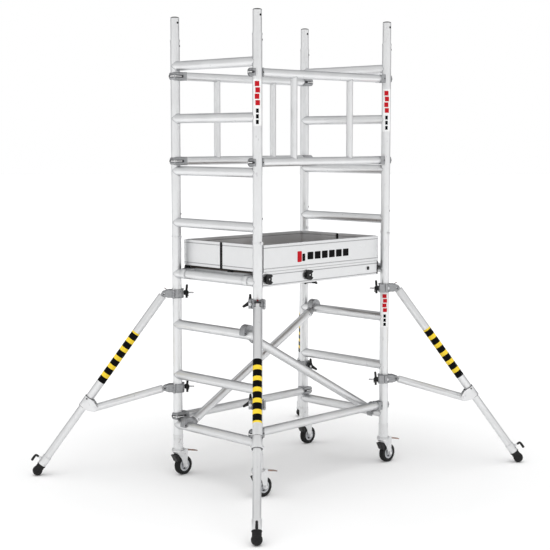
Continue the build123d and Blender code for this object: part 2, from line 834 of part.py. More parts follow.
def rubber_foot(s):
    """Moulded rubber ball with a cup that grips the stem's end."""
    with BuildPart() as foot:
        cup_h, cup_z = arm_point(lower_tube_end + 1)
        rod(s.at(cup_h, 0, cup_z), s.at(foot_centre[0], 0, foot_centre[1]), collar_tube_r - 1)
        with BuildSketch(s.radial()):
            with BuildLine():
                top = (foot_centre[0], foot_centre[1] + foot_r)
                right = (foot_centre[0] + foot_r, foot_centre[1])
                bottom = (foot_centre[0], foot_centre[1] - foot_r)
                ThreePointArc(top, right, bottom)
                Line(bottom, top)
            make_face()
        revolve(axis=Axis(s.at(foot_centre[0], 0, 0), (0, 0, 1)))
        start_h, start_z = arm_point(lower_tube_end - cut_margin)
        end_h, end_z = arm_point(arm_length - stem_short)
        rod(s.at(start_h, 0, start_z), s.at(end_h, 0, end_z), stem_r, Mode.SUBTRACT)
    return foot.part


def locking_pin(s):
    """L-shaped pull pin in the collar above the foot."""
    tip = arm_point(lock_handle_at, stem_r + 2 * sliding_gap)
    bend = arm_point(lock_handle_at, lock_handle_out)
    grip = arm_point(lock_handle_at + lock_handle_drop, lock_handle_out)
    corner_points = [s.at(h, 0, z) for h, z in (tip, bend, grip)]
    with BuildPart() as pin:
        with BuildLine() as path:
            FilletPolyline(*corner_points, radius=lock_bend_r)
        with BuildSketch(along(corner_points[0], corner_points[1])):
            Circle(lock_handle_r)
        sweep(path=path.wire())
    return pin.part


for corner, (sx, sy) in corners.items():
    s = Stabiliser(sx, sy)
    with BuildPart() as clamps:
        add(half_clamp(s, upper_pivot))
        add(half_clamp(s, lower_pivot))
    save(clamps.part, f"stabiliser_clamps_{corner}")
    save(wing_knob(s, upper_pivot[1]), f"upper_wing_nut_{corner}")
    save(wing_knob(s, lower_pivot[1]), f"lower_wing_nut_{corner}")
    with BuildPart() as tube_and_bracket:
        add(main_tube(s))
        add(bracket(s))
    save(tube_and_bracket.part, f"stabiliser_tube_{corner}")
    save(strut(s), f"stabiliser_strut_{corner}")
    save(foot_stem(s), f"foot_stem_{corner}")
    save(rubber_foot(s), f"rubber_foot_{corner}")
    save(locking_pin(s), f"locking_pin_{corner}")
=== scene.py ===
"""Looks for the mobile frame scaffold section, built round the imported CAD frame.

Shapes are made in millimetres in the row frame and scaled to metres when a piece is finished.
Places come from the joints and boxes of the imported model.
"""

import json
from math import atan2, copysign, cos, pi, radians, sin

import bmesh
import bpy
from mathutils import Matrix, Vector


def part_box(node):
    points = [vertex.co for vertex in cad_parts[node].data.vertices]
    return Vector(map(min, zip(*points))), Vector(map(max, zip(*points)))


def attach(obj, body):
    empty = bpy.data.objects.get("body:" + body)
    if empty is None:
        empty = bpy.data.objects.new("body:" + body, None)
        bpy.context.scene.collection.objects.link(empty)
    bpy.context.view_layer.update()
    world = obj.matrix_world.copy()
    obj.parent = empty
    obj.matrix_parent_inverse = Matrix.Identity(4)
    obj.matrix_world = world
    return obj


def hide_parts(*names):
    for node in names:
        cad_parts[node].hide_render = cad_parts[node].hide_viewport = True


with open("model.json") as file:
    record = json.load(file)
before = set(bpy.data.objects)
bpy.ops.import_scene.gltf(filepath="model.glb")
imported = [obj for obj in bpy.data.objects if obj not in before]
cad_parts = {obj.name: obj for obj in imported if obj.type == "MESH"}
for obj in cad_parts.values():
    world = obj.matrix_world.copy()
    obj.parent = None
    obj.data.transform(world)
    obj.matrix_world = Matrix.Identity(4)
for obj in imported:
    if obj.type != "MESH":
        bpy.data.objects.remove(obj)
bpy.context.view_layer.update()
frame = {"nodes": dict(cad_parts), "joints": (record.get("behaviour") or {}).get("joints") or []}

MM = 0.001
UP = Vector((0, 0, 1))
X = Vector((1, 0, 0))
Y = Vector((0, 1, 0))
CORNERS = ("front_left", "front_right", "rear_left", "rear_right")
JOINTS = {joint["name"]: joint for joint in frame["joints"]}


def joint_point(name):
    """A joint's point in millimetres."""
    return Vector(JOINTS[name]["pos_m"]) / MM


def joint_axis(name):
    return Vector(JOINTS[name]["axis"]).normalized()


def box(node):
    """A CAD node's lowest and highest corner in millimetres."""
    low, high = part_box(node)
    return low / MM, high / MM


# ---------------------------------------------------------------- sizes that the frame gives
STILES = {corner: joint_point(f"caster_swivel_{corner}") for corner in CORNERS}
STILE_X = STILES["rear_right"].x
STILE_Y = STILES["rear_right"].y
BRACE_LOW, BRACE_HIGH = box("horizontal_braces")
RAIL_R = (BRACE_HIGH.z - BRACE_LOW.z) / 2
RAIL_Y = BRACE_HIGH.y - RAIL_R
BRACE_Z = BRACE_HIGH.z - RAIL_R
RAIL_LOW_Z = box("guardrail_front")[0].z + RAIL_R
RAIL_HIGH_Z = box("guardrail_front")[1].z - RAIL_R
BOARD_LOW, BOARD_HIGH = box("toe_boards")
FRAME_TOP = box("upper_frame_left")[1].z

# sizes that repeat the design
TUBE_R = 25
RUNG_PITCH = 280
FIRST_RUNG = 290
RUNGS = [FIRST_RUNG + RUNG_PITCH * i for i in range(8)]
UPRIGHT_R = 17.5
UPRIGHT_X = 220
HOOK_Y = 235
HOOK_R = 35.5
HOOK_RISE = 16
HOOK_REACH = 58
CLAW_R = 33
CLAW_REACH = 46
BEAM_END = 455
BEAM_H = 78
CLIP_Z = 1138
MARK_Z = 1240
CLIP_R = 27
HINGE_R = 9.6
FLANGE_Z = 147
SPIGOT_R = 23.1
SPIGOT_BORE = 21.1
HOLE_DROP = 26
SLEEVE_R = 27
WHEEL_R = 52.5
WHEEL_W = 33
AXLE_BORE = 6.1
PEDAL_END_X = 135
PEDAL_END_Z = 117.5
UPPER_PIVOT_H = 71
LOWER_PIVOT_H = 69
CLAMP_HALF = 23.5
CLAMP_R = 34
CLAMP_PLATE_T = 22
CLAMP_PLATE_HALF = 22
CLAMP_WIDE_H = 48
EYE_R = 14
PIVOT_BORE = 5.3
HINGE_H = 16
HINGE_T = 33
BOLT_T = -39
BOLT_R = 4
BOLT_TIP = 88
NUT_BORE = 4.3
MAIN_R = 22.75
MAIN_END = 752
LOWER_R = 21
COLLAR_FROM = 1126
COLLAR_END = 1178
COLLAR_R = 24
ARM_LENGTH = 1221.2
STEM_R = 18.7
FOOT_R = 27.5
BRACKET_S = 745
BRACKET_DROP = 56.5
TAPE_FROM = {"front_left": 307, "front_right": 291, "rear_left": 264, "rear_right": 291}
TAPE_BANDS = 6
TAPE_BLACK = 34.8
TAPE_YELLOW = 24.2
TAPE_END = 10
PIN_S = 1153
PIN_R = 4
PIN_OUT = 59
PIN_BEND_R = 8
PIN_DROP = 37
TAPE_T = 0.35
BRACKET_WALL = 4
SET_BOLT_ZS = (178, 213)
SOCKET_LIP_Z = 226
GUARD_W = 35
RIB_RISES = (-13, 0, 13)
CLIP_XS = (-419, -112)
PLUG_X = 379
LABEL_T = 0.3
LABEL_ANGLE = 225
LABEL_SPANS = (("front_left", 1926, 2161), ("front_right", 1903, 2139), ("front_right", 793, 992))
FLOOR_R = 60
FLOOR_Z = -0.0002


# ---------------------------------------------------------------- camera and light
CAMERA_PLACE = (-5.0108, -4.8848, 1.859)
CAMERA_WAY = (0.7076, 0.6985, -0.1071)
CAMERA_LENS = 82.45
SUN_POWER = 1.25
SUN_SPREAD = 75
AREA_POWER = 6
WORLD_POWER = 0.82
TOWER_MIDDLE = (0, 0, 1.2)


def aim(obj, direction):
    obj.rotation_mode = "QUATERNION"
    obj.rotation_quaternion = Vector(direction).to_track_quat("-Z", "Y")


def make_camera():
    camera = bpy.data.objects.new("camera", bpy.data.cameras.new("camera"))
    camera.data.lens = CAMERA_LENS
    camera.data.sensor_width = 36
    camera.data.clip_end = 200
    camera.location = CAMERA_PLACE
    aim(camera, CAMERA_WAY)
    bpy.context.scene.collection.objects.link(camera)
    bpy.context.scene.camera = camera


def area_light(name, place, size):
    light = bpy.data.objects.new(name, bpy.data.lights.new(name, "AREA"))
    light.data.shape = "RECTANGLE"
    light.data.size, light.data.size_y = size
    light.data.energy = AREA_POWER
    light.location = place
    aim(light, Vector(TOWER_MIDDLE) - Vector(place))
    bpy.context.scene.collection.objects.link(light)


def make_world():
    """White to the camera; for light and reflections, bright above and grey behind the tower."""
    world = bpy.data.worlds.new("studio")
    bpy.context.scene.world = world
    world.use_nodes = True
    tree = world.node_tree
    tree.nodes.clear()
    kinds = ("OutputWorld", "MixShader", "LightPath", "Background", "Background")
    kinds += ("TexCoord", "VectorMath", "ValToRGB")
    output, mix, path, seen, lit, place, dot, ramp = (tree.nodes.new("ShaderNode" + k) for k in kinds)
    dot.operation = "DOT_PRODUCT"
    dot.inputs[1].default_value = (0.68, 0.66, -0.32)
    ramp.color_ramp.elements[0].position = 0.0
    ramp.color_ramp.elements[0].color = (1.0, 1.0, 1.0, 1)
    ramp.color_ramp.elements[1].position = 0.75
    ramp.color_ramp.elements[1].color = (0.2, 0.205, 0.215, 1)
    seen.inputs["Color"].default_value = (1, 1, 1, 1)
    seen.inputs["Strength"].default_value = 1.0
    lit.inputs["Strength"].default_value = WORLD_POWER
    tree.links.new(place.outputs["Generated"], dot.inputs[0])
    tree.links.new(dot.outputs["Value"], ramp.inputs["Fac"])
    tree.links.new(ramp.outputs["Color"], lit.inputs["Color"])
    tree.links.new(path.outputs["Is Camera Ray"], mix.inputs["Fac"])
    tree.links.new(lit.outputs["Background"], mix.inputs[1])
    tree.links.new(seen.outputs["Background"], mix.inputs[2])
    tree.links.new(mix.outputs["Shader"], output.inputs["Surface"])


# ---------------------------------------------------------------- materials
class Recipe:
    """A node material on a Principled shader, with textures in the row frame's metres."""

    def __init__(self, name, colour, metallic, roughness):
        self.material = bpy.data.materials.new(name)
        self.material.use_nodes = True
        self.tree = self.material.node_tree
        self.shader = self.tree.nodes["Principled BSDF"]
        self.shader.inputs["Metallic"].default_value = metallic
        self.shader.inputs["Roughness"].default_value = roughness
        self.colour = colour
        self.shader.inputs["Base Color"].default_value = (*colour, 1)
        self.material.diffuse_color = (*colour, 1)
        self.place = self.tree.nodes.new("ShaderNodeTexCoord")

    def feed(self, socket, value):
        """Links the socket to another node's output, or sets it to a number."""
        if isinstance(value, bpy.types.NodeSocket):
            self.tree.links.new(value, socket)
        else:
            socket.default_value = value

    def node(self, kind, **inputs):
        node = self.tree.nodes.new(kind)
        for name, value in inputs.items():
            self.feed(node.inputs[name.replace("_", " ")], value)
        return node

    def noise(self, scale, stretch=(1, 1, 1), detail=3.0):
        """Noise of about scale features a metre, drawn out by stretch."""
        mapping = self.node("ShaderNodeMapping", Vector=self.place.outputs["Object"], Scale=stretch)
        inputs = dict(Vector=mapping.outputs["Vector"], Scale=scale, Detail=detail)
        return self.node("ShaderNodeTexNoise", **inputs).outputs["Fac"]

    def cells(self, scale, feature="F1"):
        cells = self.node("ShaderNodeTexVoronoi", Vector=self.place.outputs["Object"], Scale=scale)
        cells.feature = feature
        return cells.outputs["Distance"]

    def spread(self, value, low, high, start=0.3, end=0.7):
        """value between start and end becomes low to high."""
        limits = dict(From_Min=start, From_Max=end, To_Min=low, To_Max=high)
        return self.node("ShaderNodeMapRange", Value=value, **limits).outputs["Result"]

    def mixed(self, factor, first, second):
        mix = self.node("ShaderNodeMix")
        mix.data_type = "RGBA"
        self.feed(mix.inputs["Factor"], factor)
        for socket, value in ((mix.inputs[6], first), (mix.inputs[7], second)):
            self.feed(socket, value if isinstance(value, bpy.types.NodeSocket) else (*value, 1))
        return mix.outputs[2]

    def paint(self, colour):
        self.tree.links.new(colour, self.shader.inputs["Base Color"])

    def mottle(self, value, amount):
        """Colour that varies by amount each way with value."""
        dark = [c * (1 - amount) for c in self.colour]
        light = [min(1.0, c * (1 + amount)) for c in self.colour]
        return self.mixed(self.spread(value, 0, 1), dark, light)

    def roughen(self, value, low, high):
        self.tree.links.new(self.spread(value, low, high), self.shader.inputs["Roughness"])

    def bump(self, height, strength, distance):
        bump = self.node("ShaderNodeBump", Height=height, Strength=strength, Distance=distance)
        self.tree.links.new(bump.outputs["Normal"], self.shader.inputs["Normal"])

    def math(self, operation, *values):
        node = self.tree.nodes.new("ShaderNodeMath")
        node.operation = operation
        for socket, value in zip(node.inputs, values):
            self.feed(socket, value)
        return node.outputs["Value"]

    def sum(self, first, second, weight):
        return self.math("MULTIPLY_ADD", second, weight, first)

    def set(self, **values):
        for name, value in values.items():
            self.shader.inputs[name.replace("_", " ")].default_value = value


ALUMINIUM_TINT = (0.55, 0.56, 0.58, 1)


class Aluminium(Recipe):
    """Drawn or extruded aluminium: fine lines along the profile and faint blotches."""

    def __init__(self, name, colour=(0.80, 0.80 * 1.005, 0.80 * 1.012)):
        super().__init__(name, colour, 1.0, 0.34)
        self.blotches = self.noise(9, detail=4)
        self.base = self.mottle(self.blotches, 0.035)

    def lines(self, stretch):
        return self.noise(900, stretch, 2)

    def scuff(self, worn):
        """Patches of the colour worn, and a roughness that follows them."""
        scuffs = self.noise(60, (1, 1, 0.4), 6)
        self.paint(self.mixed(self.spread(scuffs, 0, 1, 0.66, 0.74), self.base, worn))
        return self.sum(self.blotches, scuffs, 0.35)

    def finish(self, rough, lines):
        self.roughen(rough, 0.27, 0.42)
        self.bump(lines, 0.10, 0.0002)
        self.set(Specular_Tint=ALUMINIUM_TINT)
        return self.material


def drawn_aluminium(name, stretch):
    recipe = Aluminium(name)
    return recipe.finish(recipe.scuff((0.656, 0.656, 0.664)), recipe.lines(stretch))


def board_aluminium():
    """Extruded boards and beams, with painted shade in the grooves."""
    recipe = Aluminium("aluminium_board", (0.77, 0.775, 0.78))
    height = recipe.node("ShaderNodeSeparateXYZ", Vector=recipe.place.outputs["Object"]).outputs["Z"]
    colour = recipe.base
    beam_low = box("platform_frame")[0].z
    groove_half = 0.0021
    # Painted shade: the colour turns dark grey in a thin band along each groove, standing in for the shade
    # that falls in it.
    for z in (beam_low + 10, beam_low + BEAM_H - 14, BOARD_LOW.z + 16, BOARD_HIGH.z - 16):
        near = recipe.math("COMPARE", height, z * MM, groove_half)
        colour = recipe.mixed(near, colour, (0.42, 0.42, 0.43))
    recipe.paint(colour)
    return recipe.finish(recipe.blotches, recipe.lines((0.02, 0.02, 1)))


def frame_aluminium():
    """The ladder frames' tube: lines run up the stiles and along the rungs."""
    recipe = Aluminium("aluminium_frame_tube", (0.80, 0.805, 0.81))
    split = recipe.node("ShaderNodeSeparateXYZ", Vector=recipe.place.outputs["Normal"])
    slope = recipe.math("ABSOLUTE", split.outputs["Z"])
    choose = recipe.node("ShaderNodeMix")
    recipe.feed(choose.inputs["Factor"], recipe.spread(slope, 0, 1, 0.0, 0.2))
    recipe.feed(choose.inputs[2], recipe.lines((1, 1, 0.02)))
    recipe.feed(choose.inputs[3], recipe.lines((1, 0.02, 1)))
    return recipe.finish(recipe.scuff((0.66, 0.66, 0.67)), choose.outputs[0])


def cast_metal(name, colour, roughness=0.5):
    """Sand or die cast metal: pitted skin with darker hollows."""
    recipe = Recipe(name, colour, 1.0, roughness)
    grain = recipe.noise(1400, detail=4)
    patches = recipe.noise(70, detail=4)
    recipe.paint(recipe.mottle(patches, 0.16))
    recipe.roughen(patches, roughness - 0.1, roughness + 0.14)
    recipe.bump(recipe.sum(grain, patches, 0.6), 0.28, 0.0006)
    recipe.set(Specular_Tint=(0.6, 0.6, 0.62, 1))
    return recipe.material


def zinc_plate(name, colour):
    """Zinc-plated steel: cloudy plating with faint crystals."""
    recipe = Recipe(name, colour, 1.0, 0.36)
    crystals = recipe.cells(160)
    clouds = recipe.noise(40, detail=5)
    recipe.paint(recipe.mottle(recipe.sum(clouds, crystals, 0.35), 0.09))
    recipe.roughen(clouds, 0.26, 0.46)
    recipe.bump(crystals, 0.05, 0.0003)
    return recipe.material


def moulded(name, colour, roughness, grain_scale=1800, strength=0.2):
    """Moulded plastic or rubber with a fine sparked grain and dusty patches."""
    recipe = Recipe(name, colour, 0.0, roughness)
    grain = recipe.noise(grain_scale, detail=2)
    dust = recipe.noise(45, detail=5)
    dusty = [min(1, c * 1.25 + 0.006) for c in colour]
    recipe.paint(recipe.mixed(recipe.spread(dust, 0, 1, 0.45, 0.7), colour, dusty))
    recipe.roughen(dust, roughness - 0.08, roughness + 0.1)
    recipe.bump(grain, strength, 0.0003)
    recipe.set(Specular_IOR_Level=0.3)
    return recipe.material


def worn_paint(name, colour, under):
    """Paint rubbed through to bare metal in patches."""
    recipe = Recipe(name, colour, 0.0, 0.45)
    rubs = recipe.noise(220, (0.5, 1, 1), 6)
    clouds = recipe.noise(50, detail=4)
    recipe.paint(recipe.mixed(recipe.spread(rubs, 0, 1, 0.48, 0.56), recipe.mottle(clouds, 0.12), under))
    recipe.roughen(clouds, 0.32, 0.55)
    recipe.bump(rubs, 0.15, 0.0004)
    return recipe.material


def deck_film():
    """Phenolic film on plywood with an anti-slip grid pressed into it."""
    recipe = Recipe("deck_film", (0.105, 0.062, 0.042), 0.0, 0.42)
    cells = recipe.cells(170, "DISTANCE_TO_EDGE")
    wear = recipe.noise(14, detail=6)
    recipe.paint(recipe.mixed(recipe.spread(wear, 0, 1, 0.4, 0.75), recipe.colour, (0.16, 0.11, 0.08)))
    recipe.roughen(wear, 0.34, 0.56)
    recipe.bump(recipe.spread(cells, 0, 1, 0.0, 0.12), 0.5, 0.0006)
    return recipe.material


def tape(name, colour):
    """Printed film: smooth, with faint creases."""
    recipe = Recipe(name, colour, 0.0, 0.38)
    creases = recipe.noise(120, (1, 1, 0.3), 5)
    recipe.paint(recipe.mottle(creases, 0.07))
    recipe.roughen(creases, 0.3, 0.5)
    recipe.bump(creases, 0.06, 0.0004)
    recipe.set(Specular_IOR_Level=0.05)
    return recipe.material


def floor_material():
    """Pale floor with painted light: it glows more and more from 1.2 m to 3 m out, so it runs into the white
    background away from the tower.
    """
    recipe = Recipe("floor", (0.93, 0.93, 0.93), 0.0, 0.9)
    recipe.paint(recipe.mottle(recipe.noise(1.2, detail=2), 0.004))
    far = recipe.node("ShaderNodeVectorMath")
    far.operation = "LENGTH"
    recipe.tree.links.new(recipe.place.outputs["Object"], far.inputs[0])
    # Painted light: white emission that grows with the distance from the floor's middle under the tower,
    # though the floor is no lamp.
    painted_floor_glow = recipe.spread(far.outputs["Value"], 0.0, 0.14, 1.2, 3.0)
    recipe.tree.links.new(painted_floor_glow, recipe.shader.inputs["Emission Strength"])
    recipe.set(Specular_IOR_Level=0.1, Emission_Color=(1, 1, 1, 1))
    return recipe.material


ALUMINIUM_FRAME = frame_aluminium()
ALUMINIUM_X = drawn_aluminium("aluminium_rail_tube", (0.02, 1, 1))
ALUMINIUM_ARM = drawn_aluminium("aluminium_arm_tube", (1, 1, 0.08))
ALUMINIUM_BOARD = board_aluminium()
CAST = cast_metal("cast_aluminium_fitting", (0.40, 0.405, 0.415))
WELD = cast_metal("weld_metal", (0.62, 0.63, 0.64), 0.42)
ZINC = zinc_plate("zinc_plated_steel", (0.73, 0.735, 0.74))
BRIGHT_ZINC = zinc_plate("bright_zinc", (0.78, 0.78, 0.79))
BLACK = moulded("black_plastic_moulded", (0.006, 0.006, 0.0065), 0.42)
DARK_STEEL = cast_metal("dark_rivet_steel", (0.09, 0.09, 0.095), 0.42)
TYRE = moulded("tyre_rubber_black", (0.006, 0.006, 0.0065), 0.66, 1200, 0.35)
FOOT_RUBBER = moulded("foot_rubber_black", (0.007, 0.007, 0.0075), 0.6, 1000, 0.3)
HUB = moulded("hub_grey", (0.50, 0.51, 0.53), 0.4, 1500, 0.12)
PEDAL = worn_paint("pedal_red_brown", (0.28, 0.135, 0.09), (0.26, 0.23, 0.21))
RED_CAP = moulded("red_cap", (0.35, 0.012, 0.015), 0.4)
DECK = deck_film()
HAZARD_BLACK = tape("hazard_black", (0.003, 0.003, 0.003))
HAZARD_YELLOW = tape("hazard_yellow", (0.86, 0.62, 0.05))
LABEL_WHITE = tape("label_white", (0.86, 0.86, 0.86))
LABEL_RED = tape("label_red", (0.50, 0.012, 0.02))
LABEL_DARK = tape("label_dark", (0.003, 0.003, 0.0035))
FLOOR = floor_material()


# ---------------------------------------------------------------- shapes
def place_on(origin, x_dir, y_dir):
    """A place at origin with these x and y directions."""
    x = Vector(x_dir).normalized()
    z = x.cross(Vector(y_dir)).normalized()
    turn = Matrix((x, z.cross(x), z)).transposed().to_4x4()
    return Matrix.Translation(origin) @ turn


def place_along(origin, axis):
    """A place at origin whose z runs along axis."""
    return Matrix.Translation(origin) @ Vector(axis).to_track_quat("Z", "Y").to_matrix().to_4x4()


def arc(radius, start, end, steps=16, centre=(0, 0)):
    """Points on a circle from start to end degrees."""
    angles = [radians(start + (end - start) * i / steps) for i in range(steps + 1)]
    return [(centre[0] + radius * cos(a), centre[1] + radius * sin(a)) for a in angles]


def circle(radius, centre=(0, 0), steps=28):
    return arc(radius, 0, 360, steps, centre)[:-1]


def hexagon(radius):
    return arc(radius, 30, 390, 6)[:-1]


def around(count):
    """Angles evenly round a turn."""
    return [2 * pi * i / count for i in range(count)]


def rounded(width, height, radius, centre=(0, 0), steps=5):
    """A rectangle with round corners."""
    points = []
    for i, (sx, sy) in enumerate(((1, 1), (-1, 1), (-1, -1), (1, -1))):
        corner = (centre[0] + sx * (width / 2 - radius), centre[1] + sy * (height / 2 - radius))
        points += arc(radius, 90 * i, 90 * i + 90, steps, corner)
    return points


def ring_sector(inner, outer, start, end, steps=16):
    return arc(outer, start, end, steps) + arc(inner, end, start, steps)


class Shape:
    """A mesh in the making, in millimetres."""

    def __init__(self):
        self.bm = bmesh.new()

    def skin(self, rows, closed, paint):
        """Faces between rows of vertices, each row a ring, and over the two ends if not closed."""
        pairs = list(zip(rows, rows[1:])) + ([(rows[-1], rows[0])] if closed else [])
        for low, high in pairs:
            for i in range(len(low)):
                j = (i + 1) % len(low)
                self.bm.faces.new((low[i], low[j], high[j], high[i])).material_index = paint
        if not closed:
            for row in (rows[0], rows[-1]):
                self.bm.faces.new(row).material_index = paint

    def lathe(self, place, profile, steps=32, ring=False, paint=0):
        """Turns (radius, height) points round place's z.  A ring's profile is closed."""
        turns = around(steps)
        rows = []
        for radius, height in profile:
            points = [place @ Vector((radius * cos(a), radius * sin(a), height)) for a in turns]
            rows.append([self.bm.verts.new(p) for p in points])
        self.skin(rows, ring, paint)

    def prism(self, place, outlines, depth, paint=0):
        """A plate from place's plane up by depth: the first outline is its edge, others are holes."""
        edges = []
        for outline in outlines:
            loop = [self.bm.verts.new(place @ Vector((x, y, 0))) for x, y in outline]
            edges += [self.bm.edges.new((a, b)) for a, b in zip(loop, loop[1:] + loop[:1])]
        filled = bmesh.ops.triangle_fill(self.bm, edges=edges, use_beauty=True)["geom"]
        faces = [g for g in filled if isinstance(g, bmesh.types.BMFace)]
        grown = bmesh.ops.extrude_face_region(self.bm, geom=faces)["geom"]
        lifted = [g for g in grown if isinstance(g, bmesh.types.BMVert)]
        step = place.to_3x3() @ Vector((0, 0, depth))
        bmesh.ops.translate(self.bm, verts=lifted, vec=step)
        for face in {f for v in lifted for f in v.link_faces} | set(faces):
            if face.is_valid:
                face.material_index = paint

    def block(self, low, high):
        low, high = Vector(low), Vector(high)
        size = high - low
        middle = (low + high) / 2
        place = place_on((middle.x, middle.y, low.z), X, Y)
        self.prism(place, [rounded(size.x, size.y, min(size.x, size.y) * 0.12)], size.z)

    def sweep(self, points, radius, steps=12, closed=False, paint=0):
        """A round bar along points.  radius may be one number or a list, one for each point."""
        points = [Vector(p) for p in points]
        count = len(points)
        radii = radius if isinstance(radius, list) else [radius] * count
        ways = []
        for i in range(count):
            before = points[i - 1] if closed or i else points[0]
            after = points[(i + 1) % count] if closed or i < count - 1 else points[-1]
            ways.append((after - before).normalized())
        side = ways[0].orthogonal().normalized()
        turns = around(steps)
        rows = []
        for point, way, r in zip(points, ways, radii):
            side = (side - way * side.dot(way)).normalized()
            lift = way.cross(side)
            points_round = [point + side * r * cos(a) + lift * r * sin(a) for a in turns]
            rows.append([self.bm.verts.new(p) for p in points_round])
        self.skin(rows, closed, paint)

    def done(self, name, body, slot, materials, bevel=0.0, smooth=35):
        """Makes the object, in metres, riding on its body."""
        bmesh.ops.recalc_face_normals(self.bm, faces=self.bm.faces)
        self.bm.transform(Matrix.Scale(MM, 4))
        mesh = bpy.data.meshes.new(name)
        self.bm.to_mesh(mesh)
        self.bm.free()
        mesh.shade_smooth()
        mesh.set_sharp_from_angle(angle=radians(smooth))
        obj = bpy.data.objects.new(name, mesh)
        bpy.context.scene.collection.objects.link(obj)
        for material in materials:
            mesh.materials.append(material)
        if bevel:
            soften(obj, bevel)
        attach(obj, body)
        return obj


def soften(obj, width, segments=2):
    """Rounds the sharp edges."""
    bevel = obj.modifiers.new("soft_edges", "BEVEL")
    bevel.width = width * MM
    bevel.segments = segments
    bevel.limit_method = "ANGLE"
    bevel.angle_limit = radians(35)
    bevel.use_clamp_overlap = True
    bevel.harden_normals = True


def dress(node, material, slot, width=0.0):
    """Gives a CAD node its finish, and rounds its edges where width is given."""
    obj = frame["nodes"][node]
    obj.data.materials.clear()
    obj.data.materials.append(material)
    if width:
        weld = obj.modifiers.new("weld", "WELD")
        weld.merge_threshold = 0.00001
        soften(obj, width)


# ---------------------------------------------------------------- CAD nodes that stay
for end in ("left", "right"):
    dress(f"lower_frame_{end}", ALUMINIUM_FRAME, "aluminium_tube")
    dress(f"upper_frame_{end}", ALUMINIUM_FRAME, "aluminium_tube")
for end in ("front", "rear"):
    dress(f"guardrail_{end}", ALUMINIUM_X, "aluminium_tube")
dress("stile_spigots", ALUMINIUM_ARM, "aluminium_tube")
dress("interlock_pins", BRIGHT_ZINC, "zinc_steel")
dress("horizontal_braces", ALUMINIUM_X, "aluminium_tube")
dress("diagonal_braces", ALUMINIUM_ARM, "aluminium_tube")
dress("brace_claws", CAST, "cast_aluminium", 1.2)
dress("platform_frame", ALUMINIUM_BOARD, "aluminium_profile", 0.8)
dress("platform_deck", DECK, "deck_panel", 0.8)
dress("toe_boards", ALUMINIUM_BOARD, "aluminium_profile", 0.7)
dress("toe_board_hinges", BLACK, "black_plastic", 1.0)
dress("caster_sockets", ZINC, "zinc_steel", 0.8)
CORNER_FINISHES = (
    ("caster_fork", ZINC, "zinc_steel", 1.0),
    ("stabiliser_clamps", CAST, "cast_aluminium", 1.2),
    ("stabiliser_tube", ALUMINIUM_ARM, "aluminium_tube", 0.6),
    ("stabiliser_strut", ALUMINIUM_ARM, "aluminium_tube", 0.6),
    ("foot_stem", ALUMINIUM_ARM, "aluminium_tube"),
    ("locking_pin", BRIGHT_ZINC, "zinc_steel"),
    ("caster_wheel", TYRE, "tyre_rubber", 0.8),
    ("brake_pedal", PEDAL, "pedal_paint", 0.8),
    ("rubber_foot", FOOT_RUBBER, "foot_rubber", 0.8),
    ("upper_wing_nut", BLACK, "black_plastic", 0.8),
    ("lower_wing_nut", BLACK, "black_plastic", 0.8),
)
for corner in CORNERS:
    for kind, *finish in CORNER_FINISHES:
        dress(f"{kind}_{corner}", *finish)


# ---------------------------------------------------------------- tower pieces
def rivet(shape, origin, axis, radius, height, paint=0):
    """A domed rivet head standing on origin."""
    dome = [(radius * cos(radians(a)), height * sin(radians(a))) for a in (0, 25, 50, 70)]
    shape.lathe(place_along(origin, axis), [(radius, -1)] + dome + [(0.3, height)], 16, paint=paint)


def hex_nut(shape, origin, axis, radius, height, paint=0):
    """A hexagon with a short bolt end in it."""
    place = place_along(origin, axis)
    shape.prism(place, [hexagon(radius)], height, paint)
    bolt = [(radius * 0.5, 0), (radius * 0.5, height + 1.4), (radius * 0.36, height + 2.2)]
    shape.lathe(place, bolt, 14, paint=paint)


def saddle(shape, centre, run, across, hole_r, tube_r, bead):
    """A weld bead round a tube of hole_r that runs into a tube of tube_r."""
    steps = 72
    points = []
    for angle in around(steps):
        wide = (hole_r + 0.5) * cos(angle)
        depth = (max(tube_r ** 2 - wide ** 2, 0)) ** 0.5 + 0.4
        rise = run.cross(across) * (hole_r + 0.5) * sin(angle)
        points.append(centre + run * depth + across * wide + rise)
    radii = [bead * (1.12 if i % 2 else 0.9) for i in range(steps)]
    shape.sweep(points, radii, 8, closed=True)


def weld_beads():
    """Beads where the rungs meet the stiles and the uprights meet the rails."""
    shape = Shape()
    for stile in STILES.values():
        inward = Vector((0, -copysign(1, stile.y), 0))
        for z in RUNGS:
            saddle(shape, Vector((stile.x, stile.y, z)), inward, X, TUBE_R, TUBE_R, 2.0)
    for y in (-RAIL_Y, RAIL_Y):
        for x in (-UPRIGHT_X, UPRIGHT_X):
            for z, way in ((RAIL_LOW_Z, UP), (RAIL_HIGH_Z, -UP)):
                saddle(shape, Vector((x, y, z)), way, Y, UPRIGHT_R, RAIL_R, 1.7)
    shape.done("weld_beads", "tower", "aluminium_tube", [WELD], smooth=60)


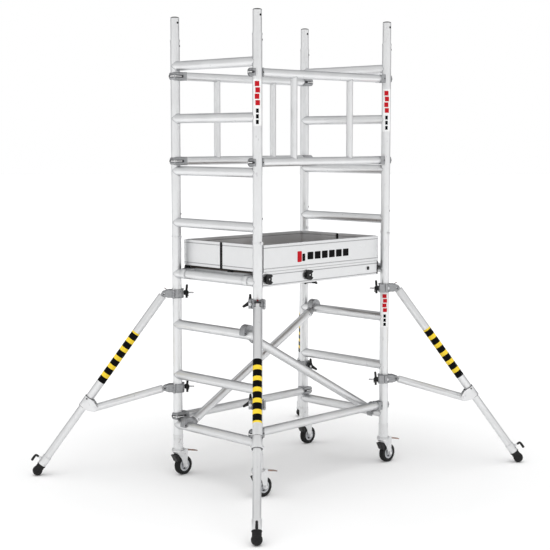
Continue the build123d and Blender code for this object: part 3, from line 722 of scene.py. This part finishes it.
def stile_fittings():
    """Snap buttons near the stile tops, caps on the spigots, black liners in the spigots' pin holes as
    painted shade, and wire clips over the interlock pins.
    """
    buttons, clips = Shape(), Shape()
    pin_z = (box("interlock_pins")[0].z + box("interlock_pins")[1].z) / 2
    for stile in STILES.values():
        axis = Vector((stile.x, stile.y, 0))
        way = Vector((1, -1, 0)).normalized()
        for z in (FRAME_TOP - 33, RUNGS[4] + 46):
            spot = axis + way * (TUBE_R - 0.4) + UP * z
            buttons.lathe(place_along(spot, way), [(5, -1), (5, 1.4), (4, 2.6), (0.4, 2.9)], 20)
        top = box("stile_spigots")[1].z
        cap = [(SPIGOT_BORE - 0.2, -14), (SPIGOT_BORE - 0.2, 0), (SPIGOT_R - 0.1, 0.1), (SPIGOT_R, 1.4)]
        cap += [(SPIGOT_R - 2, 3.6), (SPIGOT_R - 8, 5.8), (SPIGOT_R - 16, 7), (0.4, 7.4)]
        buttons.lathe(place_along(axis + UP * top, UP), cap, 44)
        # Painted shade: black liners in the spigots' pin holes stand in for the shade inside the holes.
        for side in (Y, -Y):
            hole = place_along(axis + side * (SPIGOT_R - 0.9) + UP * (top - HOLE_DROP), side)
            hole_shade_liner = [(4.1, -12), (4.1, 1.4), (6, 1.4), (6, 0.4), (4.5, -0.2), (4.5, -12)]
            buttons.lathe(hole, hole_shade_liner, 24, ring=True)
        outward = copysign(1, stile.x)
        bow = arc(TUBE_R + 3, 180, 360, 15)
        points = [axis + Vector((-y * outward, x, pin_z)) for x, y in bow]
        ends = [axis + Vector((0, -35, pin_z)), axis + Vector((0, 34, pin_z + 1))]
        clips.sweep(ends[:1] + points + ends[1:], 1.5, 10)
        ring = [axis + Vector((0, 34 + 4 * sin(a), pin_z + 5 - 4 * cos(a))) for a in around(16)]
        clips.sweep(ring, 1.3, 8, closed=True)
    buttons.done("spigot_caps_buttons_and_hole_shade", "tower", "black_plastic", [BLACK])
    clips.done("interlock_clips", "tower", "zinc_steel", [BRIGHT_ZINC])


def claw_fittings():
    """Raised edges, latch bars, rivets and release buttons on the rail claws."""
    rims, darks, brights = Shape(), Shape(), Shape()
    for stile in STILES.values():
        sx, sy = copysign(1, stile.x), copysign(1, stile.y)
        for z in (RAIL_LOW_Z, RAIL_HIGH_Z, BRACE_Z):
            face = Vector((stile.x, stile.y - sy * CLAW_R, z))
            place = place_on(face, (-sx, 0, 0), (0, 0, sy * sx))
            edge = rounded(CLAW_R * 2 + 8, 42, 17, (2, 0), 8)
            points = [place @ Vector((x, y, -0.2)) for x, y in edge]
            rims.sweep(points, 1.9, 8, closed=True)
            end_x = stile.x + sx * CLAW_R
            face_y = stile.y - sy * CLAW_R
            bar = [(end_x, stile.y + sy * 2), (end_x, face_y + sy * 7), (end_x - sx * 2, face_y + sy * 2)]
            bar += [(end_x - sx * 8, face_y), (stile.x - sx * 14, face_y)]
            darks.sweep([(x - sx * 2.6, y + sy * 2.6, z) for x, y in bar], 7.4, 16)
            brights.sweep([(x + sx * 1.6, y - sy * 1.6, z) for x, y in bar], 3.6, 12, paint=1)
            rivet(darks, Vector((end_x, stile.y + sy * 9, z)), (sx, 0, 0), 6.4, 3.4)
            darks.prism(place @ Matrix.Translation((22, 0, -1.8)), [rounded(14, 15, 3, (0, 0), 6)], 3.6)
            end = Vector((stile.x - sx * (CLAW_REACH + 12), stile.y - sy * (STILE_Y - RAIL_Y), z))
            for way in (UP, -Y, Y):
                rivet(brights, end + way * (RAIL_R - 0.4), way, 3.4, 1.8)
            outer = Vector((stile.x - sx * 30, stile.y + sy * 12, z))
            rivet(darks, outer + Vector((0, sy * 2, 0)), (0, sy, 0), 4.4, 2.4)
            for rise in RIB_RISES:
                start = Vector((stile.x, stile.y, z + rise))
                angles = [radians(a) for a in range(20, 104, 12)]
                rib = [start + Vector((sx * sin(a), -sy * cos(a), 0)) * CLAW_R for a in angles]
                rims.sweep(rib, 1.6, 8)
    rims.done("claw_rims", "tower", "cast_aluminium", [CAST], smooth=60)
    darks.done("claw_rivets", "tower", "zinc_steel", [DARK_STEEL])
    brights.done("claw_latch_bars", "tower", "zinc_steel", [BRIGHT_ZINC, LABEL_WHITE])


def hook_fittings():
    """Ribs, rivets and a collar on the diagonal braces' hooks."""
    ribs, darks = Shape(), Shape()
    slope = atan2(RUNGS[2] - RUNGS[0], 2 * STILE_X)
    for sx, sy, z in ((-1, -1, RUNGS[2]), (1, -1, RUNGS[0]), (1, 1, RUNGS[2]), (-1, 1, RUNGS[0])):
        centre = Vector((sx * STILE_X, sy * HOOK_Y, z))
        for across in (-17, 0, 17):
            bow = arc(HOOK_R, 0, 144, 12, (0, HOOK_RISE))
            points = [centre + Vector((sx * x, across, rise)) for x, rise in [(HOOK_R, 0)] + bow]
            ribs.sweep(points, 2.2, 8)
        for way in (-1, 1):
            rivet(darks, centre + Vector((sx * 30, way * 18, 10)), (0, way, 0), 5, 2.6)
            rivet(darks, centre + Vector((-sx * 30, way * 18, 4)), (0, way, 0), 4, 2.2)
        fall = -1 if z == RUNGS[2] else 1
        inward = Vector((-sx * cos(slope), 0, fall * sin(slope)))
        for way in (Y, -Y):
            rivet(darks, centre + inward * (HOOK_REACH + 12) + way * (RAIL_R - 0.4), way, 3.2, 1.6)
        ring = place_along(centre + inward * (HOOK_REACH - 6), inward)
        ribs.lathe(ring, [(RAIL_R, 0), (RAIL_R + 2, 0.5), (RAIL_R + 2, 5), (RAIL_R, 5.5)], 36, ring=True)
    ribs.done("brace_hook_ribs", "tower", "cast_aluminium", [CAST], smooth=60)
    darks.done("brace_hook_rivets", "tower", "zinc_steel", [DARK_STEEL])


def platform_fittings():
    """Clips, plugs, latches and rivets on the platform's beams, and thin black strips of painted shadow
    along the foot of the short toe boards.
    """
    blacks, rivets = Shape(), Shape()
    high = box("platform_frame")[1]
    beam_y, beam_low = high.y, high.z - BEAM_H
    for sy in (-1, 1):
        for sx in (-1, 1):
            centre = Vector((sx * BEAM_END, sy * (beam_y - 19), beam_low + BEAM_H / 2))
            place = place_on(centre, Y * sx, UP)
            blacks.prism(place, [rounded(37.4, BEAM_H - 0.6, 3)], 9)
            blacks.prism(place @ Matrix.Translation((0, 8, 9)), [rounded(30, 52, 5)], 6)
        face = sy * beam_y
        for x in CLIP_XS:
            centre = Vector((-sy * x, face, CLIP_Z))
            place = place_on(centre, (-sy, 0, 0), UP)
            blacks.prism(place, [ring_sector(15, CLIP_R, 38, 322, 28)], 17)
            blacks.prism(place, [ring_sector(4.4, 16, -178, 178, 30)], 14)
            blacks.prism(place @ Matrix.Translation((-CLIP_R + 3, 0, 0)), [rounded(16, 26, 4)], 8)
            rivet(rivets, centre + Vector((0, sy * 12, 0)), (0, sy, 0), 4.3, 2.6, 1)
        plug = place_on((-sy * PLUG_X, face, CLIP_Z), (-sy, 0, 0), UP)
        blacks.prism(plug, [rounded(17, 19, 3)], 2.6)
        y0, y1 = sorted((face, face - sy * 16))
        blacks.block((-66, y0, beam_low - 10), (-46, y1, beam_low + 0.5))
    for sx in (-1, 1):
        x0, x1 = sorted((sx * BEAM_END, sx * (BOARD_HIGH.x + 3)))
        blacks.block((x0, -78, high.z - 14), (x1, -50, high.z - 1))
        # Painted shadow: a thin black strip along the foot of the short toe board, standing in for the
        # shadow in the gap there.
        blacks.block((x0, -256, high.z - 4), (x1 - 2, 256, high.z + 0.6))
        for y in (-242, 242):
            for z in (RUNGS[3] + 34, RUNGS[3] + 20):
                for way in (-Y, Y):
                    rivet(rivets, Vector((sx * (STILE_X - 28), y, z - 12)) + way * 18, way, 3.4, 1.8)
    blacks.done("platform_clips_and_gap_shadow", "tower", "black_plastic", [BLACK], bevel=0.6)
    rivets.done("platform_rivets", "tower", "zinc_steel", [BRIGHT_ZINC, LABEL_WHITE])


def deck_fittings():
    """Aluminium edging round the deck panel, and its screws."""
    trim, screws = Shape(), Shape()
    low, high = box("platform_deck")
    wide, thick = 14, 1.6
    top = high.z + thick
    inner_y = high.y - wide - 0.5
    screw_x = [0.94 * high.x * (i / 3 - 1) for i in range(7)]
    for way in (-1, 1):
        y0, y1 = sorted((way * high.y, way * (high.y - wide)))
        trim.block((low.x, y0, high.z), (high.x, y1, top))
        x0, x1 = sorted((way * (high.x - 1), way * (high.x - wide)))
        trim.block((x0, -inner_y, high.z), (x1, inner_y, top))
        spots = [(x, way * (high.y - wide / 2)) for x in screw_x]
        spots += [(way * (high.x - wide / 2), y) for y in (-150, 0, 150)]
        for x, y in spots:
            rivet(screws, Vector((x, y, top)), UP, 3.6, 1.1)
    trim.done("deck_edging", "tower", "aluminium_profile", [ALUMINIUM_BOARD], bevel=0.3)
    screws.done("deck_screws", "tower", "zinc_steel", [BRIGHT_ZINC])


def board_hinges():
    """Hinges of the toe boards: black in the middle of the short sides, bare at the corners."""
    shape = Shape()
    low, high = box("toe_board_hinges")
    count = 5
    step = (high.z - low.z) / count
    for sx in (-1, 1):
        x = sx * (high.x - HINGE_R)
        for y in (-(high.y - HINGE_R), 0, high.y - HINGE_R):
            for i in range(count):
                z = low.z + i * step
                profile = [(0.4, 0), (HINGE_R - 1.4, 0), (HINGE_R, 1.4), (HINGE_R, step - 2.2)]
                profile += [(HINGE_R - 1.4, step - 0.8), (0.4, step - 0.8)]
                shape.lathe(place_along((x, y, z), UP), profile, 28, paint=0 if y == 0 else 1)
    piece = shape.done("board_hinge_knuckles", "tower", "black_plastic", [BLACK, ALUMINIUM_BOARD])
    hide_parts("toe_board_hinges")


def wrapped_label(shape, axis, low_z, high_z, centre_angle, half_angle, paint, radius=TUBE_R):
    """A film patch wrapped on a stile."""
    place = Matrix.Translation((axis.x, axis.y, low_z))
    start, end = centre_angle - half_angle, centre_angle + half_angle
    shape.prism(place, [ring_sector(radius + 0.05, radius + 0.4, start, end, 18)], high_z - low_z, paint)


def labels():
    """Plain labels in the places of the printed ones: blocks of colour with no lettering."""
    shape = Shape()
    for corner, low, high in LABEL_SPANS:
        stile = STILES[corner]
        wrapped_label(shape, stile, low, high, LABEL_ANGLE, 55, 0)
        tall = high - low
        for i in range(4):
            z = low + tall * (0.44 + 0.135 * i)
            wrapped_label(shape, stile, z, z + tall * 0.11, LABEL_ANGLE + 4 * (-1) ** i, 27, 1, TUBE_R + 0.4)
        for i in range(3):
            z = low + tall * (0.04 + 0.12 * i)
            wrapped_label(shape, stile, z, z + tall * 0.09, LABEL_ANGLE, 16, 2, TUBE_R + 0.4)
    place = place_on((0, BOARD_LOW.y, MARK_Z), X, UP)
    shape.prism(place, [rounded(34, 58, 5, (-180, 0))], LABEL_T, 1)
    shape.prism(place, [rounded(22, 40, 4, (-148, -6))], LABEL_T, 2)
    for i in range(6):
        shape.prism(place, [rounded(46, 40, 4, (-96 + 57 * i, 0))], LABEL_T, 2)
    shape.done("plain_labels", "tower", "aluminium_tube", [LABEL_WHITE, LABEL_RED, LABEL_DARK])


# ---------------------------------------------------------------- casters
def caster_pieces(corner):
    """Race rings, guard, nuts, tyre, hub and pedal tread of one caster."""
    stile = STILES[corner]
    axis = Vector((stile.x, stile.y, 0))
    axle = joint_point(f"wheel_spin_{corner}")
    pin = joint_point(f"brake_pedal_{corner}")
    fork_body = f"caster_{corner}"

    plate = Shape()
    disc = [(31, 0), (34, 0.8), (34.6, 3), (33, 5.2), (28, 5.6)]
    plate.lathe(place_along(axis + UP * (FLANGE_Z + 1.2), UP), disc, 44)
    for side in (Vector((1, -1, 0)), Vector((-1, -1, 0))):
        way = side.normalized()
        for z in SET_BOLT_ZS:
            rivet(plate, axis + way * (SLEEVE_R - 0.3) + UP * z, way, 3.6, 2.2)
    rim = [(27, 0), (28, 0.6), (28, 3.4), (27, 4)]
    plate.lathe(place_along(axis + UP * SOCKET_LIP_Z, UP), rim, 44, ring=True)
    plate.done(f"caster_plate_{corner}", "tower", "zinc_steel", [ZINC])

    race = Shape()
    cup = [(30, 0), (34, 1.5), (36, 5), (36, 9), (34, 10.6), (30, 10.8)]
    race.lathe(place_along(axis + UP * (FLANGE_Z - 12), UP), cup, 44)
    seal = [(24, 0), (31, 0), (31, 2.2), (24, 2.2)]
    race.lathe(place_along(axis + UP * (FLANGE_Z - 1.4), UP), seal, 44, ring=True, paint=1)
    race.done(f"swivel_race_{corner}", fork_body, "zinc_steel", [ZINC, BLACK])

    guard = Shape()
    outline = [(-42, 120), (-20, 121), (0, 116), (14, 105)]
    outline += [(axle.x - stile.x + x, axle.z + z) for x, z in arc(WHEEL_R + 2, 112, 153, 12)]
    outline += [(-22, 84), (-30, 100)]
    guard.prism(place_on(axis + Y * GUARD_W / 2, X, UP), [outline], GUARD_W)
    guard.done(f"wheel_guard_{corner}", fork_body, "black_plastic", [BLACK], bevel=2.2)

    nuts = Shape()
    for sy in (-1, 1):
        side = Vector((0, sy, 0))
        hex_nut(nuts, axle + side * 24, side, 9.5, 6)
        rivet(nuts, pin + side * 21.5, side, 4.6, 2.6)
    nuts.done(f"axle_nuts_{corner}", fork_body, "zinc_steel", [BRIGHT_ZINC])

    wheel = Shape()
    across = place_along(axle, Y)
    half = WHEEL_W / 2
    tyre = [(33, -half + 2.5), (36, -half + 0.6), (46, -half)]
    tyre += [(WHEEL_R - 2.2, -half + 2), (WHEEL_R - 0.8, -half + 4.5)]
    for middle in (-8, 0, 8):
        groove = ((0, -2.2), (1.6, -1.2), (1.6, 1.2), (0, 2.2))
        tyre += [(WHEEL_R - depth, middle + along) for depth, along in groove]
    tyre += [(WHEEL_R - 0.8, half - 4.5), (WHEEL_R - 2.2, half - 2)]
    tyre += [(46, half), (36, half - 0.6), (33, half - 2.5)]
    wheel.lathe(across, tyre, 96, ring=True)
    for side in (-1, 1):
        for angle in around(44):
            way = across @ Matrix.Rotation(angle, 4, "Z")
            low = way @ Matrix.Translation((WHEEL_R - 5.5, 0, side * (half - 1.9) - 1.6))
            wheel.prism(low, [rounded(9, 3.2, 0.8)], 3.2)
    wheel.done(f"tyre_{corner}", f"wheel_{corner}", "tyre_rubber", [TYRE])

    hub = Shape()
    rim = [(26, -half + 4), (27, -half + 2.2), (32, -half + 1.6), (33.2, -half + 3), (33.2, half - 3)]
    rim += [(32, half - 1.6), (27, half - 2.2), (26, half - 4)]
    hub.lathe(across, rim, 64, ring=True)
    hub.lathe(across, [(12, -5), (26.5, -5), (26.5, 5), (12, 5)], 64, ring=True)
    boss = [(AXLE_BORE, -half), (10, -half), (13, -half + 3), (13.5, -5)]
    boss += [(r, -z) for r, z in reversed(boss)]
    hub.lathe(across, boss, 40, ring=True)
    for angle in around(6):
        spoke = across @ Matrix.Rotation(angle, 4, "Z") @ Matrix.Translation((20, 0, -half + 5.5))
        hub.prism(spoke, [rounded(16, 3.4, 0.8)], WHEEL_W - 11)
    for side in (-1, 1):
        turned = across @ Matrix.Translation((0, 0, side * 5.1 - 0.4))
        for start in (68, 248):
            hub.prism(turned, [ring_sector(15.5, 24.5, start, start + 44, 10)], 0.8, 1)
    piece = hub.done(f"hub_{corner}", f"wheel_{corner}", "tyre_rubber", [HUB, BLACK], bevel=0.4)
    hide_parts(f"caster_wheel_{corner}")

    tread = Shape()
    tip = Vector((stile.x + PEDAL_END_X, stile.y, PEDAL_END_Z))
    slope = (tip - pin).normalized()
    up = Vector((-slope.z, 0, slope.x)) if slope.x > 0 else UP
    for i in range(6):
        spot = tip - slope * (9 + 9 * i) + up * 2.4
        tread.sweep([spot - Y * 11, spot + Y * 11], [1.2, 1.2], 8)
    stem = [pin + slope * 10 + up * 1.8, pin + slope * 26 + up * 2.6, tip - slope * 60 + up * 2.2]
    tread.sweep(stem, [3.2, 3.8, 2.0])
    lip = [tip - slope * 6 + up + Y * y for y in (-10, -5, 0, 5, 10)]
    tread.sweep(lip, 2.2, 10)
    ring = place_along(pin - Y * 12.5, Y)
    tread.lathe(ring, [(7.2, 0), (7.9, 0.6), (7.9, 24.4), (7.2, 25)], 28, ring=True, paint=1)
    tread.done(f"pedal_tread_{corner}", f"pedal_{corner}", "pedal_paint", [PEDAL, ZINC], smooth=50)


# ---------------------------------------------------------------- stabilisers
class Arm:
    """A stabiliser's frame: at(h, t, z) is h out from the stile's axis and t to its side."""

    def __init__(self, corner):
        stile = STILES[corner]
        self.corner = corner
        self.body = f"stabiliser_{corner}"
        self.out = Vector((copysign(1, stile.x), copysign(1, stile.y), 0)).normalized()
        self.side = UP.cross(self.out)
        self.stile = Vector((stile.x, stile.y, 0))
        self.slide = joint_axis(f"foot_extension_{corner}")
        self.lift = joint_axis(f"locking_pin_pull_{corner}")
        self.pivots = {
            "upper": (UPPER_PIVOT_H, joint_point(f"upper_wing_nut_turn_{corner}").z),
            "lower": (LOWER_PIVOT_H, joint_point(f"lower_wing_nut_turn_{corner}").z),
        }
        self.top = self.at(UPPER_PIVOT_H, 0, self.pivots["upper"][1])

    def at(self, h, t, z):
        return self.stile + self.out * h + self.side * t + UP * z

    def down(self, s, n=0, t=0):
        """A point s down the main tube from its pivot and n off its axis."""
        return self.top + self.slide * s + self.lift * n + self.side * t

    def ring(self, s):
        """The place s down the main tube, square to it."""
        return place_along(self.down(s), self.slide)


def clamp_pieces(arm):
    """Cast edges, hinge knuckles and bolt hardware of both clamps."""
    cast, bright, darks = Shape(), Shape(), Shape()
    for h, z in arm.pivots.values():
        for t in (-CLAMP_PLATE_T, CLAMP_PLATE_T):
            wide, tip = CLAMP_PLATE_HALF - 2, EYE_R - 1.5
            eye = [(h + tip * sin(radians(a)), z + tip * cos(radians(a))) for a in range(0, 181, 15)]
            edge = [(26, z + wide), (CLAMP_WIDE_H, z + wide)] + eye
            edge += [(CLAMP_WIDE_H, z - wide), (26, z - wide)]
            cast.sweep([arm.at(x, t, y) for x, y in edge], 1.9, 8)
            way = arm.side * copysign(1, t)
            for up in (1, -1):
                cast.sweep([arm.at(36, t, z + up * 8), arm.at(54, t, z + up * 4)], 1.5, 8)
            washer = place_along(arm.at(h, t, z), way)
            edge = [(PIVOT_BORE, 0), (9.4, 0), (9.4, 1.6), (8.6, 2.4), (PIVOT_BORE, 2.4)]
            cast.lathe(washer, edge, 32, ring=True)
        level = place_on(arm.at(0, 0, 0), arm.out, arm.side)
        for start, end in ((-58, -40), (34, 46), (84, 246)):
            for low in (-CLAMP_HALF, -2.2, CLAMP_HALF - 4.4):
                place = level @ Matrix.Translation((0, 0, z + low))
                cast.prism(place, [ring_sector(CLAMP_R - 1, CLAMP_R + 2, start, end, 24)], 4.4)
        for step in (-1, 0, 1):
            knuckle = place_along(arm.at(HINGE_H, HINGE_T, z + step * 15.6 - 7.2), UP)
            cast.lathe(knuckle, [(7, 0), (8.2, 1), (8.2, 13.4), (7, 14.4)], 24, ring=True)
        for end in (-1, 1):
            rivet(bright, arm.at(HINGE_H, HINGE_T, z + end * (CLAMP_HALF + 2.6)), UP * end, 5.6, 2.8)
        hex_nut(bright, arm.at(15.5, BOLT_T, z), arm.out, 8.6, 7)
        seat = place_along(arm.at(-34, BOLT_T, z), -arm.out)
        bright.lathe(seat, [(4.2, 0), (9.5, 0), (9.5, 0.9), (4.2, 0.9)], 28, ring=True)
        crest, root, pitch = BOLT_R + 0.5, BOLT_R - 0.1, 1.6
        thread = [(root if i % 2 else crest, 61.5 + i * pitch / 2) for i in range(32)]
        bright.lathe(place_along(arm.at(0, BOLT_T, z), -arm.out), thread + [(2.5, BOLT_TIP + 0.6)], 20)
    h, z = arm.pivots["upper"]
    top = z + CLAMP_HALF
    lean = (arm.out * 0.8 + UP * 0.6).normalized()
    tab = place_on(arm.at(52, 0, top - 7), lean, arm.side)
    darks.prism(tab, [rounded(26, 11, 5.4, (10, 0))], 2.4)
    darks.prism(tab @ Matrix.Translation((17, 0, -0.5)), [circle(4.6)], 3.4, 1)
    darks.sweep([arm.at(50, -17, z + 14), arm.at(50, 17, z + 14)], 2.6, 12)
    cast.done(f"clamp_castings_{arm.corner}", arm.body, "cast_aluminium", [CAST], smooth=50)
    bright.done(f"clamp_hardware_{arm.corner}", arm.body, "zinc_steel", [BRIGHT_ZINC])
    darks.done(f"clamp_pins_{arm.corner}", arm.body, "zinc_steel", [DARK_STEEL, RED_CAP], smooth=60)


def arm_pieces(arm):
    """Hazard tape, tube end rings, bracket bolts and the pull pin's boss."""
    tape_shape = Shape()
    edge = TAPE_FROM[arm.corner]
    bands = [(TAPE_BLACK, 0), (TAPE_YELLOW, 1)] * TAPE_BANDS
    bands.pop()
    cut = (TAPE_END, 1)
    bands = bands + [cut] if arm.corner == "front_left" else [cut] + bands
    for width, paint in bands:
        profile = [(MAIN_R, 0), (MAIN_R + TAPE_T, 0), (MAIN_R + TAPE_T, width), (MAIN_R, width)]
        tape_shape.lathe(arm.ring(edge), profile, 48, ring=True, paint=paint)
        edge += width
    tape_shape.done(f"hazard_tape_{arm.corner}", arm.body, "black_plastic", [HAZARD_BLACK, HAZARD_YELLOW])

    rings = Shape()
    step = [(LOWER_R + 0.2, 0), (MAIN_R + 0.2, 0), (MAIN_R + 0.5, 1), (MAIN_R - 0.4, 2.4)]
    step.append((LOWER_R + 0.2, 2.6))
    rings.lathe(arm.ring(MAIN_END - 1.5), step, 44, ring=True)
    lip = [(LOWER_R, 0), (COLLAR_R - 0.6, 1.2), (COLLAR_R + 0.5, 2), (COLLAR_R + 0.5, 5), (COLLAR_R, 6)]
    rings.lathe(arm.ring(COLLAR_FROM - 2), lip, 44, ring=True)
    boss = [(PIN_R + 0.5, 0), (10, 0), (10, 3), (8, 4.2), (7.4, 10), (6.6, 11), (PIN_R + 0.5, 11)]
    rings.lathe(place_along(arm.down(PIN_S, COLLAR_R - 1.5), arm.lift), boss, 28, ring=True)
    rings.done(f"tube_rings_{arm.corner}", arm.body, "aluminium_tube", [ALUMINIUM_ARM])

    bolts = Shape()
    for way in (-1, 1):
        side = arm.side * way
        face = MAIN_R + BRACKET_WALL
        hex_nut(bolts, arm.down(BRACKET_S, -BRACKET_DROP) + side * (face + 1.5), side, 8.2, 4.4)
        washer = [(5.2, 0), (11, 0), (11, 1.8), (5.2, 1.8)]
        seat = arm.down(BRACKET_S, -BRACKET_DROP) + side * (face - 0.4)
        bolts.lathe(place_along(seat, side), washer, 28, ring=True)
        rivet(bolts, arm.down(BRACKET_S - 22, 9) + side * (face - 0.6), side, 4.6, 2.4, paint=1)
    lip = [(MAIN_R + 0.1, 0), (MAIN_R + 4.3, 0), (MAIN_R + 4.3, 1.4), (MAIN_R + 0.1, 1.4)]
    for end in (-32.6, 31.2):
        bolts.lathe(arm.ring(BRACKET_S + end), lip, 44, ring=True, paint=1)
    bolts.done(f"bracket_bolts_{arm.corner}", arm.body, "zinc_steel", [BRIGHT_ZINC, DARK_STEEL])


def wing_nuts(arm):
    """Moulded three-wing nuts with a round hub."""
    for which, (_, z) in arm.pivots.items():
        shape = Shape()
        axis = -arm.out
        hub = [(NUT_BORE, 35.4), (11, 35.4), (13.6, 37.5), (14.4, 42), (13.4, 52), (11.2, 58), (8.8, 60.8)]
        hub.append((NUT_BORE, 60.8))
        shape.lathe(place_along(arm.at(0, BOLT_T, z), axis), hub, 36, ring=True)
        for angle in around(3):
            spoke = Matrix.Rotation(angle, 3, axis) @ UP
            tangent = axis.cross(spoke)
            outline = [(6, -9.5), (14, -9.8), (24, -7.6), (38, -6.2)]
            outline += arc(6.2, -78, 78, 10, (39.8, 0))
            outline += [(38, 6.2), (24, 7.6), (14, 9.8), (6, 9.5)]
            place = place_on(arm.at(-42.5, BOLT_T, z), spoke + axis * 0.09, tangent)
            shape.prism(place, [outline], 12)
        name = f"{which}_wing_knob_{arm.corner}"
        piece = shape.done(name, f"{which}_nut_{arm.corner}", "black_plastic", [BLACK], bevel=2.6)
        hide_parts(f"{which}_wing_nut_{arm.corner}")


def foot_pieces(arm):
    """Ribbed rubber boot on the stem, and the black grip on the pull pin."""
    foot = Shape()
    cup = COLLAR_END + 1 - ARM_LENGTH
    profile = [(0.5, -11.5), (STEM_R + 0.1, -11.5), (STEM_R + 0.1, cup), (24.6, cup)]
    lip = ((25.4, 1), (25.4, 4), (24.4, 5.4), (23.2, 6.4), (22.8, 12))
    profile += [(r, cup + rise) for r, rise in lip] + [(23.2, -19)]
    count = 34
    for i in range(count + 1):
        angle = radians(121 * (1 - i / count) + 1)
        reach = FOOT_R - (1.0 if i % 5 == 2 else 0)
        profile.append((reach * sin(angle), reach * cos(angle)))
    foot.lathe(arm.ring(ARM_LENGTH), profile, 56)
    name = f"rubber_boot_{arm.corner}"
    piece = foot.done(name, f"foot_{arm.corner}", "foot_rubber", [FOOT_RUBBER], smooth=28)
    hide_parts(f"rubber_foot_{arm.corner}")

    grip = Shape()
    inner = PIN_OUT - PIN_BEND_R
    bend = [(PIN_S, PIN_OUT - 20), (PIN_S, inner)]
    bend += arc(PIN_BEND_R, 160, 100, 3, (PIN_S + PIN_BEND_R, inner))
    bend += [(PIN_S + 12, PIN_OUT), (PIN_S + PIN_DROP, PIN_OUT)]
    bend = [arm.down(s, n) for s, n in bend]
    grip.sweep(bend, [6.0] + [6.6] * (len(bend) - 1), 18)
    start = arm.down(PIN_S + 14, PIN_OUT)
    ribs = [(6.4, 0)]
    for i in range(5):
        ribs += [(7.2, 1.0 + 4.4 * i), (7.2, 3.2 + 4.4 * i), (6.4, 4.0 + 4.4 * i)]
    grip.lathe(place_along(start, arm.slide), ribs + [(6.7, 23), (5.4, 25), (0.4, 25.6)], 24)
    grip.done(f"pull_grip_{arm.corner}", f"pin_{arm.corner}", "black_plastic", [BLACK], smooth=50)


weld_beads()
stile_fittings()
claw_fittings()
hook_fittings()
platform_fittings()
deck_fittings()
board_hinges()
labels()
for corner in CORNERS:
    caster_pieces(corner)
    stabiliser = Arm(corner)
    clamp_pieces(stabiliser)
    arm_pieces(stabiliser)
    wing_nuts(stabiliser)
    foot_pieces(stabiliser)


# ---------------------------------------------------------------- stage
make_camera()
make_world()
sky = bpy.data.objects.new("sky", bpy.data.lights.new("sky", "SUN"))
sky.data.energy = SUN_POWER
sky.data.angle = radians(SUN_SPREAD)
sky.visible_glossy = False
aim(sky, (0.25, 0.2, -1))
bpy.context.scene.collection.objects.link(sky)
area_light("key", (-6.5, 1.5, 4.5), (3, 4))
area_light("fill", (2.5, -7.0, 3.5), (4, 4))
bpy.ops.mesh.primitive_circle_add(vertices=96, radius=FLOOR_R, fill_type="NGON", location=(0, 0, FLOOR_Z))
floor = bpy.context.object
floor.name = "floor"
floor.data.materials.append(FLOOR)
bpy.context.scene.view_settings.view_transform = "Standard"
